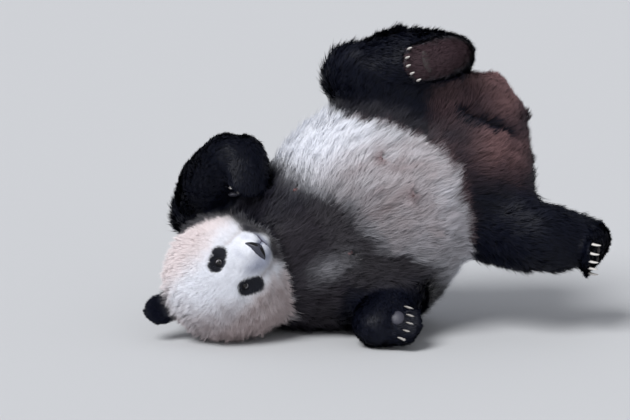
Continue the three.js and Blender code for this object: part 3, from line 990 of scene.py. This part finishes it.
# %% Thin grey hair and painted shade of the belly
# Painted shade: the grey grows deeper low on the trunk, and lies on the side that faces the front.
thin_hair_and_shade = smooth_step(0.25, 0.10, trunk_height) * (0.60 + 0.40 * spot(-0.01, 0.05, 0.13, 0.13))
thin_hair_and_shade *= is_part("belly", "rump", "chest", "right_thigh") * facing_front * (1 - black)
for station, height in NIPPLES:
    areola = bell(from_nipple(skin_places, station - 16, height), 25 * MM)
    areola *= facing_front * (1 - 0.85 * band)
    brown = np.maximum(brown, 0.8 * areola)
    black = black * (1 - 0.75 * areola)
along_the_lie = np.stack([trunk_station * 0.3, trunk_height, behind], axis=1)
by_the_leg = smooth_step(0.08, 0.16, trunk_station) * smooth_step(0.09, -0.03, trunk_height) * (1 - black)
thin_hair_and_shade *= 1 - 0.35 * by_the_leg
thin_hair_and_shade = soften(thin_hair_and_shade * (0.86 + 0.18 * wobble(skin_places, 0.07, 5)), 4)
warm_middle = spot(0.045, 0.10, 0.11, 0.085)
stained = smooth_step(-0.7, 0.9, wobble(along_the_lie, 0.05, 22)) * warm_middle * facing_front
brown = np.maximum(brown, 0.55 * stained * is_part("belly"))
thin_hair_and_shade *= 1 - 0.3 * warm_middle
thin_hair_and_shade = np.clip(thin_hair_and_shade * (1 + 0.16 * wobble(along_the_lie, 0.02, 21)), 0, 1)
low_belly = smooth_step(0.07, -0.05, trunk_height) * is_part("belly", "rump") * facing_front * (1 - black)
# Painted shade, cool, low on the belly and next to the lower leg.
shade_and_mouth_grey = 0.12 * np.maximum(by_the_leg, low_belly)
print("brown share:", round(float(brown.mean()), 3), "thin haired share:", round(float(thin_hair_and_shade.mean()), 3))

# %% [markdown]
# Painted shade darkens the crease behind the muzzle, the head by the floor, where the hair is also
# stained, and the muzzle, in cool blotches over its top and more on its right side, which lies lower.
# Round the mouth the hair is dusky. The outer cheeks are cream. The black of the chest, the belly and
# the throat is worn by the sun, and so it is paler than that of the limbs.

# %% Painted shade, dusk and cream on the head, and the worn band
# Painted shade in the crease where the muzzle meets the cheek.
painted_crease_shade = bell(np.abs(on_head[:, 0]) - 63 * MM, 7 * MM) * smooth_step(0.12, 0.135, on_head[:, 1])
painted_crease_shade *= smooth_step(-5 * MM, -25 * MM, on_head[:, 2]) * is_part("head")
# Painted shade on the head towards the floor, where its hair is also stained.
shade_and_stain_by_floor = is_part("head") * smooth_step(0.17, 0.05, skin_z + rough_edge * 0.03)
left_cheek = smooth_step(-62 * MM, -125 * MM, on_head[:, 0] + rough_edge * 12 * MM)
right_cheek = smooth_step(66 * MM, 110 * MM, on_head[:, 0] + rough_edge * 14 * MM)
cream = is_part("head") * np.maximum(left_cheek * 0.85, right_cheek * 0.7)
cheek_streaks = np.clip(0.47 + 0.28 * wobble(skin_places, 0.02, 31), 0, 1)
for shade_and_tint in (painted_crease_shade * 0.35, shade_and_stain_by_floor * 0.75, is_part("head") * right_cheek * cheek_streaks):
    thin_hair_and_shade = np.maximum(thin_hair_and_shade, shade_and_tint)
# Painted shade on the muzzle: cool blotches over its top, and more on its right side, which lies lower.
painted_muzzle_blotches = smooth_step(-0.4, 1.0, wobble(skin_places, 0.05, 8)) * muzzle_share
painted_shade_muzzle_side = muzzle_share * smooth_step(-5 * MM, 40 * MM, on_head[:, 0]) * 0.8
_, from_mouth = nearest(mouth_line + cleft_line, skin_places)
by_the_mouth = smooth_step(14 * MM, 2 * MM, from_mouth)
for shade_and_tint in (painted_muzzle_blotches * 0.35, painted_shade_muzzle_side, by_the_mouth * 0.9):
    shade_and_mouth_grey = np.maximum(shade_and_mouth_grey, shade_and_tint)
worn_band = soften(is_part("chest", "belly"), 20) * facing_front * (1 - throat) + throat
worn_band *= 1 - 0.6 * smooth_step(0.09, 0.16, trunk_height)
MARKS = {
    "black": black,
    "brown": brown,
    "thin_and_shade": thin_hair_and_shade,
    "cream": cream,
    "shade_and_mouth_grey": shade_and_mouth_grey,
    "worn": worn_band,
}
print("shares:", {mark: round(float(values.mean()), 3) for mark, values in MARKS.items()})

# %% [markdown]
# ## The lie of the coat
# Hair grows from the nose over the head, from the head to the tail along the trunk, and from the
# shoulders and hips down to the toes. One direction is given for each part, averaged with its
# neighbours, and then laid flat on the skin.

# %% Lie of the coat
NEXT = {"upper_arm": "forearm", "forearm": "forepaw", "thigh": "shank", "shank": "hindpaw"}
FAN = 2.2  # how much the flank's hair fans out from the spine's direction


def lie_of(node):
    """The way that hair lies on a node."""
    side, _, part = node.partition("_")
    if part in NEXT:
        return middle(f"{side}_{NEXT[part]}") - middle(node)
    if node in toes:
        return toes[node] - middle(node)
    if node.startswith("ear"):
        return middle(node) - head_centre
    if node == "tail":
        return middle(node) - middle("rump")
    return along_trunk


lie = unit([lie_of(node) for node in FLESH])[node_at]
fan = np.clip(trunk_height * FAN, -0.35, 0.5)[:, None] * across_trunk
lie = lie + fan * is_part("belly", "rump", "chest")[:, None]
lie = np.where(is_part("head")[:, None] > 0, unit(outline - middle("nose")), lie)
lie = unit(soften(lie, 10))
print("lie of the coat set for", len(lie), "points")

# %% [markdown]
# ## Coat
# Fur could be particle hair, but that can't leave Blender as a mesh. Here every lock is a thin ribbon
# of three triangles that bends once and ends in a point. Locks are rooted evenly over the skin, rise
# from it, bend along the lie, and lean towards their neighbours in small clumps. All the locks of a
# part are one mesh made from arrays, and each lock keeps the markings of its root.


# %% Skin as triangles
skin.data.calc_loop_triangles()
skin_triangles = read_rows(skin.data.loop_triangles, "vertices", 3, int)
triangle_node = np.array(FLESH)[node_at[skin_triangles[:, 0]]]
triangle_middle = skin_places[skin_triangles].mean(axis=1)
print("skin triangles:", len(skin_triangles))


def unwrap(triangles):
    """Lays a part of the skin out flat and gives the flat place of each triangle's corners."""
    used, corners = np.unique(triangles, return_inverse=True)
    mesh = bpy.data.meshes.new("flat")
    mesh.from_pydata(skin_places[used].tolist(), [], corners.reshape(-1, 3).tolist())
    piece = in_scene("flat", mesh)
    mesh.uv_layers.new(name="flat")
    with editing(piece, "SELECT"):
        bpy.ops.uv.smart_project(angle_limit=math.radians(66), island_margin=0.004)
    flat = read_rows(mesh.uv_layers[0].data, "uv", 2)
    bpy.data.objects.remove(piece)
    return flat.reshape(-1, 3, 2)


# %% Roots and clumps
def plant(chosen, count, seed):
    """Roots of locks spread evenly over some of the skin's triangles."""
    dice = np.random.default_rng(seed)
    triangles = skin_triangles[chosen]
    corners = skin_places[triangles]
    sides = np.cross(corners[:, 1] - corners[:, 0], corners[:, 2] - corners[:, 0])
    crowding = 1 / (lock_length * lock_width)[triangles].mean(axis=1) ** 0.7
    share = np.cumsum(np.linalg.norm(sides, axis=1) * crowding)
    marks = (np.arange(count) + dice.random(count)) / count * share[-1]
    picked = np.minimum(np.searchsorted(share, marks), len(triangles) - 1)
    first, second = np.sqrt(dice.random(count)), dice.random(count)
    weights = np.stack([1 - first, first * (1 - second), first * second], axis=1)
    return dice, triangles, picked, weights


def hairy(roots):
    """Which roots lie outside all the bare places."""
    kept = np.ones(len(roots), bool)
    for place, size in bare_balls:
        kept &= ((roots - place) ** 2).sum(axis=1) > size**2
    return kept


def clumps_of(roots, locks_in_clump, dice):
    """For each root, the root in the middle of its clump."""
    centres = dice.choice(len(roots), len(roots) // locks_in_clump, replace=False)
    return centres[nearest(roots[centres], roots)[0]]


# %% Shape of a lock
CLUMP_PULL, MID_PULL = 0.45, 0.4  # how far tips lean into their clump, and the bend's share of that
LEAN_LIMIT = 0.45  # of a lock's length


def turn_about(axis, rows, angle):
    """Turns each row about its axis by its angle."""
    cos, sin = np.cos(angle)[:, None], np.sin(angle)[:, None]
    return rows * cos + np.cross(axis, rows) * sin + axis * (rows * axis).sum(axis=1)[:, None] * (1 - cos)


def pull_together(mids, tips, length, clump, pull):
    """Leans the locks towards the middle lock of their clump."""
    reach = length[:, None] * LEAN_LIMIT
    lean = tips[clump] - tips
    lean *= np.minimum(1, reach / np.maximum(np.linalg.norm(lean, axis=1, keepdims=True), 1e-6))
    return mids + lean * pull[:, None] * MID_PULL, tips + lean * pull[:, None]


# %% [markdown]
# The locks of one part are laid out as rows of five points: two at the root, two at the bend and one at
# the tip. A ribbon lit by its own facing alone would glitter, so its shading leans to the skin's.

# %% Mesh of locks
PATCH_SIZE = 0.0015  # half a lock's patch on the coat's flat map
LOCK_FACES = np.array([[0, 1, 3], [0, 3, 2], [2, 3, 4]])
LOCK_ON_MAP = np.array([[-1, -1], [1, -1], [-1, 0], [1, 0], [0, 1]]) * PATCH_SIZE
OWN_FACING, SKIN_FACING = 0.28, 0.72  # their shares in a lock's shading


def lock_mesh(name, rows, place_on_map, marks, normal):
    """One mesh from the rows of locks, with its values, its flat map and soft shading."""
    count = len(rows)
    mesh = bpy.data.meshes.new(name)
    mesh.vertices.add(count * 5)
    mesh.vertices.foreach_set("co", rows.astype(np.float32).ravel())
    faces = (LOCK_FACES[None] + np.arange(count)[:, None, None] * 5).ravel()
    mesh.loops.add(len(faces))
    mesh.loops.foreach_set("vertex_index", faces.astype(np.int32))
    mesh.polygons.add(len(faces) // 3)
    mesh.polygons.foreach_set("loop_start", np.arange(0, len(faces), 3, dtype=np.int32))
    mesh.update(calc_edges=True)
    mesh.validate()
    on_map = np.clip(place_on_map, 0.002, 0.998)[:, None] + LOCK_ON_MAP
    layer = mesh.uv_layers.new(name="OFBake")
    layer.data.foreach_set("uv", on_map.reshape(-1, 2)[faces].astype(np.float32).ravel())
    for mark, values in marks.items():
        add_value(mesh, mark, np.repeat(values, 5))
    add_value(mesh, "outward", np.tile([0, 0, 0.5, 0.5, 1], count))
    shade_soft(mesh)
    own = unit(np.cross(rows[:, 1] - rows[:, 0], rows[:, 4] - rows[:, 0]))
    soft = unit(own * OWN_FACING + normal * SKIN_FACING)
    mesh.normals_split_custom_set_from_vertices(np.repeat(soft, 5, axis=0))
    return in_scene(name, mesh)


# %% Locks of one part
FLOOR_CLEARANCE = 1.5 * MM
HEAD_CLUMP, BODY_CLUMP = 16, 50  # locks in a clump
STRAY_SHARE = 0.18  # of the locks stand up from the coat
ruff = smooth_step(0.7, 0.2, skin_normals @ head_forward)  # where the head's fur turns away from the face
on_face = soften(is_part("head"), 5) * (1 - ruff)
clump_unevenness = soften(is_part("head") * 0.5 + 0.5, 8) * (1 - 0.88 * on_face) * (1 - 0.8 * muzzle_share)
clump_pull = CLUMP_PULL * (1 - 0.65 * on_face)


def grow_coat(name, chosen, count, slot, seed):
    """Makes the locks of one part as a single mesh."""
    dice, triangles, picked, weights = plant(chosen, count, seed)

    def at_roots(values):
        """A value of the skin at each root."""
        rows = np.asarray(values)[triangles[picked]]
        return (rows * weights.reshape(weights.shape + (1,) * (rows.ndim - 2))).sum(axis=1)

    normal = unit(at_roots(skin_normals))
    root = at_roots(skin_places) - normal * MM
    lay = at_roots(lie)
    lay = unit(lay - normal * (lay * normal).sum(axis=1)[:, None])
    swirl = wobble(root, 0.11, 11) * 14 + wobble(root, 0.035, 12) * 10 + dice.normal(0, 11, count)
    lay = turn_about(normal, lay, np.radians(swirl))
    stray = dice.random(count) < STRAY_SHARE
    clump = clumps_of(root, HEAD_CLUMP if "head" in name or "face" in name else BODY_CLUMP, dice)
    uneven = (2 * dice.random(count) ** 4 - 0.4)[clump] * at_roots(clump_unevenness)
    length = at_roots(lock_length) * dice.uniform(0.78, 1.14, count) * (1 + 0.18 * stray + 0.3 * uneven)
    width = at_roots(lock_width) * dice.uniform(0.7, 1.25, count) * (1 - 0.3 * stray)
    rise = np.clip(at_roots(lock_rise) + dice.normal(0, 7, count) + 18 * stray + 14 * uneven, 8, 80)
    rise = np.radians(rise)[:, None]
    early = lay * np.cos(rise) + normal * np.sin(rise)
    late = lay * np.cos(rise * 0.5) + normal * np.sin(rise * 0.5)
    mid = root + early * length[:, None] * 0.5
    tip = mid + late * length[:, None] * 0.5
    pull = at_roots(clump_pull) * dice.uniform(0.3, 1.2, count)
    mid, tip = pull_together(mid, tip, length, clump, pull)
    edge = turn_about(early, unit(np.cross(early, normal)), np.radians(dice.normal(0, 28, count)))
    half = edge * width[:, None] / 2
    rows = np.stack([root - half, root + half, mid - half * 0.8, mid + half * 0.8, tip], axis=1)
    rows[..., 2] = np.maximum(rows[..., 2], FLOOR_CLEARANCE)
    place_on_map = (unwrap(triangles)[picked] * weights[..., None]).sum(axis=1)
    marks = {mark: at_roots(values) for mark, values in MARKS.items()}
    borrows = dice.random(count) < 0.5  # half the locks take their clump's marks, so borders are tufted
    marks = {mark: np.where(borrows, values[clump], values) for mark, values in marks.items()}
    marks["tint"] = (dice.random(count) + dice.random(count)[clump]) / 2
    kept = hairy(root)
    marks = {mark: values[kept] for mark, values in marks.items()}
    piece = lock_mesh(name, rows[kept], place_on_map[kept], marks, normal[kept])
    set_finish(piece, slot)
    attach(piece, "root")
    print(name, "locks:", len(rows[kept]), "triangles:", len(piece.data.polygons))
    return piece


# %% Coat of every part
def in_nodes(*words):
    """Which triangles of the skin belong to a node with one of these words in its name."""
    return np.isin(triangle_node, [node for node in FLESH if any(word in node for word in words)])


def limb(side, *parts):
    """Which triangles of the skin belong to the parts of one limb."""
    return in_nodes(*(f"{side}_{part}" for part in parts))


ARM, LEG = ("upper_arm", "forearm", "forepaw"), ("thigh", "shank", "hindpaw")
front_of_head = in_nodes("head") & (to_head(triangle_middle)[:, 1] > 0)
front_of_belly = in_nodes("belly") & (triangle_middle[:, 1] < belly_middle[1])
COATS = {  # the skin's triangles, how many locks, and the finish they are named for
    "coat_face": (front_of_head, 66000, "coat_white"),
    "coat_head": (in_nodes("head", "neck") & ~front_of_head, 42000, "coat_white"),
    "coat_chest": (in_nodes("chest"), 50000, "coat_black"),
    "coat_belly": (front_of_belly, 66000, "coat_white"),
    "coat_flank": (in_nodes("belly") & ~front_of_belly, 50000, "coat_white"),
    "coat_rump": (in_nodes("rump", "tail"), 48000, "coat_brown"),
    "coat_ears": (in_nodes("ear_"), 9000, "coat_black"),
    "coat_left_arm": (limb("left", *ARM), 38000, "coat_black"),
    "coat_right_arm": (limb("right", *ARM), 38000, "coat_black"),
    "coat_left_leg": (limb("left", *LEG), 42000, "coat_black"),
    "coat_right_leg": (limb("right", *LEG), 42000, "coat_black"),
}
coat_pieces = [
    grow_coat(name, chosen, count, slot, seed)
    for seed, (name, (chosen, count, slot)) in enumerate(COATS.items())
]

# %% [markdown]
# ## Colours of the coat
# Hair is paler and more worn at its tip than at its root. The shader group below turns the markings
# into one colour. The skin and every coat material hold the same group.

# %% Shader group for the markings
LAYERS = {  # the colour at the root and at the tip of the hair, and each layer covers those above it
    # The white's blue tint is the blue cast of shade, painted in; the hair itself is white.
    "White": ((0.84, 0.86, 0.92), (0.91, 0.93, 1.00)),
    "Cream": ((0.66, 0.55, 0.53), (0.90, 0.79, 0.80)),
    # This layer is painted shade, and the real purple-grey of the hair round the mouth.
    "Shade_and_mouth_grey": ((0.17, 0.18, 0.27), (0.32, 0.36, 0.50)),
    # Thin is the grey of thin hair, and also painted shade on the belly and the head.
    "Thin_and_shade": ((0.172, 0.122, 0.115), (0.360, 0.248, 0.238)),
    "Brown": ((0.036, 0.019, 0.019), (0.27, 0.150, 0.155)),
    # The black's bluish tips are a painted reflection of the sky.
    "Black": ((0.001, 0.001, 0.003), (0.005, 0.007, 0.019)),
}
WORN_ROOT, WORN_TIP = (0.012, 0.010, 0.012), (0.050, 0.044, 0.056)  # the band's sunburnt black
DARKEST_TINT, PALEST_TINT = 0.88, 1.04
MARK_NAMES = ("Black", "Brown", "Thin_and_shade", "Cream", "Shade_and_mouth_grey", "Worn", "Outward", "Tint")


def add_node(tree, kind, **settings):
    """A new node with its settings."""
    node = tree.nodes.new(kind)
    for name, value in settings.items():
        setattr(node, name, value)
    return node


def mix_colours(tree, factor, first, second):
    """Mixes two colours, each a socket or a plain colour."""
    node = add_node(tree, "ShaderNodeMix", data_type="RGBA")
    for socket, value in ((node.inputs[0], factor), (node.inputs[6], first), (node.inputs[7], second)):
        if isinstance(value, tuple):
            socket.default_value = (*value, 1)
        else:
            tree.links.new(value, socket)
    return node.outputs[2]


def stored(tree, name):
    """A value that is stored on the points of a piece."""
    return add_node(tree, "ShaderNodeAttribute", attribute_name=name).outputs["Fac"]


def map_range(tree, value, ranges, **settings):
    """A value carried over from one range to another."""
    node = add_node(tree, "ShaderNodeMapRange", **settings)
    tree.links.new(value, node.inputs["Value"])
    for socket, limit in ranges.items():
        node.inputs[socket].default_value = limit
    return node.outputs["Result"]


def coat_colour_group():
    """The group that turns markings into a colour."""
    group = bpy.data.node_groups.new("coat_colour", "ShaderNodeTree")
    for name in MARK_NAMES:
        group.interface.new_socket(name=name, in_out="INPUT", socket_type="NodeSocketFloat")
    group.interface.new_socket(name="Color", in_out="OUTPUT", socket_type="NodeSocketColor")
    marks = add_node(group, "NodeGroupInput").outputs
    layers = {name: mix_colours(group, marks["Outward"], *colours) for name, colours in LAYERS.items()}
    worn_black = mix_colours(group, marks["Outward"], WORN_ROOT, WORN_TIP)
    layers["Black"] = mix_colours(group, marks["Worn"], layers["Black"], worn_black)
    colour = layers.pop("White")
    for mark, layer in layers.items():
        colour = mix_colours(group, marks[mark], colour, layer)
    shade = map_range(group, marks["Tint"], {"To Min": DARKEST_TINT, "To Max": PALEST_TINT})
    shaded = add_node(group, "ShaderNodeVectorMath", operation="SCALE")
    group.links.new(colour, shaded.inputs[0])
    group.links.new(shade, shaded.inputs["Scale"])
    group.links.new(shaded.outputs[0], add_node(group, "NodeGroupOutput").inputs["Color"])
    return group


coat_colour = coat_colour_group()
print("the coat's group reads:", ", ".join(MARK_NAMES))


# %% Materials of the coat and the skin
def marked_material(name, roughness, sheen, specular):
    """A material that shows the markings."""
    material, tree, shader = new_material(
        name, {"Roughness": roughness, "Sheen Weight": sheen, "Specular IOR Level": specular}
    )
    colours = add_node(tree, "ShaderNodeGroup", node_tree=coat_colour)
    for mark in MARK_NAMES:
        tree.links.new(stored(tree, mark.lower()), colours.inputs[mark])
    tree.links.new(colours.outputs["Color"], shader.inputs["Base Color"])
    return material


coat_materials = {
    "coat_white": marked_material("white_coat", 0.75, 0.35, 0.3),
    "coat_black": marked_material("black_coat", 0.5, 0.0, 0.18),
    "coat_brown": marked_material("brown_coat", 0.6, 0.0, 0.25),
}
for piece in coat_pieces:
    piece.data.materials.append(coat_materials[piece["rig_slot"]])
for mark, values in {**MARKS, "outward": 0.35 + 0.4 * face_share, "tint": np.full(len(black), 0.5)}.items():
    add_value(skin.data, mark, values)
skin.data.materials.append(marked_material("hide", 0.7, 0.0, 0.2))
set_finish(skin, "coat_white")
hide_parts(*FLESH)
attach(skin, "root")

# %% [markdown]
# ## Bare skin, horn and eyes
# The nose, lips, lids, pads and nipples are bare skin with a fine pebbled grain. Small rounded cells
# give the grain its bump, and slow noise shifts its colour. Claws run from grey at the root to pale at
# the tip, with fine streaks along them. The eye is nearly black, with a brown iris, a thin pale ring
# painted on as the reflection on its wet rim, and a clear wet coat over everything.

# %% Leather
PATCHES_IN_METRE = 90
LEATHER_DEPTH, HORN_DEPTH = 0.5 * MM, 0.3 * MM
NOSTRIL_PAINTED_SHADE = (0.001, 0.001, 0.002)


def noise(tree, scale, detail=3.0, name="ShaderNodeTexNoise"):
    """A noise or cell texture in the piece's own place, by its number of waves in a metre."""
    place = add_node(tree, "ShaderNodeTexCoord")
    texture = add_node(tree, name)
    texture.inputs["Scale"].default_value = scale
    if "Detail" in texture.inputs:
        texture.inputs["Detail"].default_value = detail
    tree.links.new(place.outputs["Object"], texture.inputs["Vector"])
    return texture


def bump(tree, shader, height, distance, strength):
    """Raises a surface by a height."""
    node = add_node(tree, "ShaderNodeBump")
    node.inputs["Distance"].default_value = distance
    node.inputs["Strength"].default_value = strength
    tree.links.new(height, node.inputs["Height"])
    tree.links.new(node.outputs["Normal"], shader.inputs["Normal"])


def leather(name, dark, pale, roughness, grain=620, specular=0.5):
    """Bare skin with a pebbled grain. Where a piece stores that it is hollow, painted shade makes it black,
    and it is dull.
    """
    material, tree, shader = new_material(name, {"Specular IOR Level": specular})
    colour = mix_colours(tree, noise(tree, PATCHES_IN_METRE).outputs["Fac"], dark, pale)
    pebbles = noise(tree, grain, name="ShaderNodeTexVoronoi").outputs["Distance"]
    colour = mix_colours(tree, pebbles, colour, dark)
    hollow = stored(tree, "hollow")
    colour = mix_colours(tree, hollow, colour, NOSTRIL_PAINTED_SHADE)
    dullness = map_range(tree, hollow, {"To Min": roughness, "To Max": 1.0})
    tree.links.new(dullness, shader.inputs["Roughness"])
    tree.links.new(colour, shader.inputs["Base Color"])
    bump(tree, shader, pebbles, LEATHER_DEPTH, 0.5)
    return material


LEATHERS = (  # the pieces, and each leather's name, dark and pale colours, roughness, grain and shine
    ([nose], "nose_skin", (0.035, 0.037, 0.055), (0.14, 0.145, 0.20), 0.26),
    ([mouth, cleft], "lip_skin", (0.022, 0.014, 0.032), (0.08, 0.052, 0.11), 0.45),
    (lids, "lid_skin", (0.002, 0.002, 0.004), (0.006, 0.006, 0.010), 0.5, 620, 0.2),
    (pad_pieces[::2], "palm_skin", (0.045, 0.045, 0.062), (0.10, 0.10, 0.14), 0.5, 420),
    (pad_pieces[1::2], "sole_skin", (0.014, 0.009, 0.009), (0.05, 0.034, 0.034), 0.6, 420),
    ([nipples], "nipple_skin", (0.16, 0.07, 0.07), (0.34, 0.18, 0.18), 0.45, 700),
)
for pieces, *looks in LEATHERS:
    bare_skin = leather(*looks)
    for piece in pieces:
        piece.data.materials.append(bare_skin)
    print(bare_skin.name, "on", [piece.name for piece in pieces])

# %% Horn
HORN_ROOT, HORN_STREAK, HORN_TIP = (0.10, 0.085, 0.075), (0.50, 0.46, 0.42), (0.86, 0.84, 0.82)
horn, tree, shader = new_material("horn", {"Roughness": 0.33, "Specular IOR Level": 0.5})
streaks = noise(tree, 260, 5.0).outputs["Fac"]
pale_horn = mix_colours(tree, streaks, HORN_STREAK, HORN_TIP)
colour = mix_colours(tree, stored(tree, "along"), HORN_ROOT, pale_horn)
tree.links.new(colour, shader.inputs["Base Color"])
bump(tree, shader, streaks, HORN_DEPTH, 0.4)
for piece in claw_pieces:
    piece.data.materials.append(horn)


# %% Wet eyes
def ring(tree, value, middle_at, half):
    """1 in the middle of a ring of values and 0 outside it."""
    away = add_node(tree, "ShaderNodeMath", operation="SUBTRACT")
    tree.links.new(value, away.inputs[0])
    away.inputs[1].default_value = middle_at
    size = add_node(tree, "ShaderNodeMath", operation="ABSOLUTE")
    tree.links.new(away.outputs[0], size.inputs[0])
    limits = {"From Min": half, "From Max": half * 0.3}
    return map_range(tree, size.outputs[0], limits, interpolation_type="SMOOTHSTEP")


PUPIL, PAINTED_RIM_REFLECTION = (0.002, 0.002, 0.003), (0.55, 0.53, 0.58)
IRIS_DARK, IRIS_PALE = (0.003, 0.002, 0.002), (0.016, 0.009, 0.007)
wet_eye, tree, shader = new_material(
    "wet_eye", {"Roughness": 0.10, "Specular IOR Level": 0.0, "Coat Weight": 1.0, "Coat Roughness": 0.06}
)
off_gaze = stored(tree, "off_gaze")
iris = mix_colours(tree, noise(tree, 900).outputs["Fac"], IRIS_DARK, IRIS_PALE)
colour = mix_colours(tree, ring(tree, off_gaze, 0.42, 0.16), PUPIL, iris)
# A pale ring painted round the iris stands for the reflection on the wet rim.
colour = mix_colours(tree, ring(tree, off_gaze, 0.63, 0.07), colour, PAINTED_RIM_REFLECTION)
tree.links.new(colour, shader.inputs["Base Color"])
for piece in eyes:
    piece.data.materials.append(wet_eye)
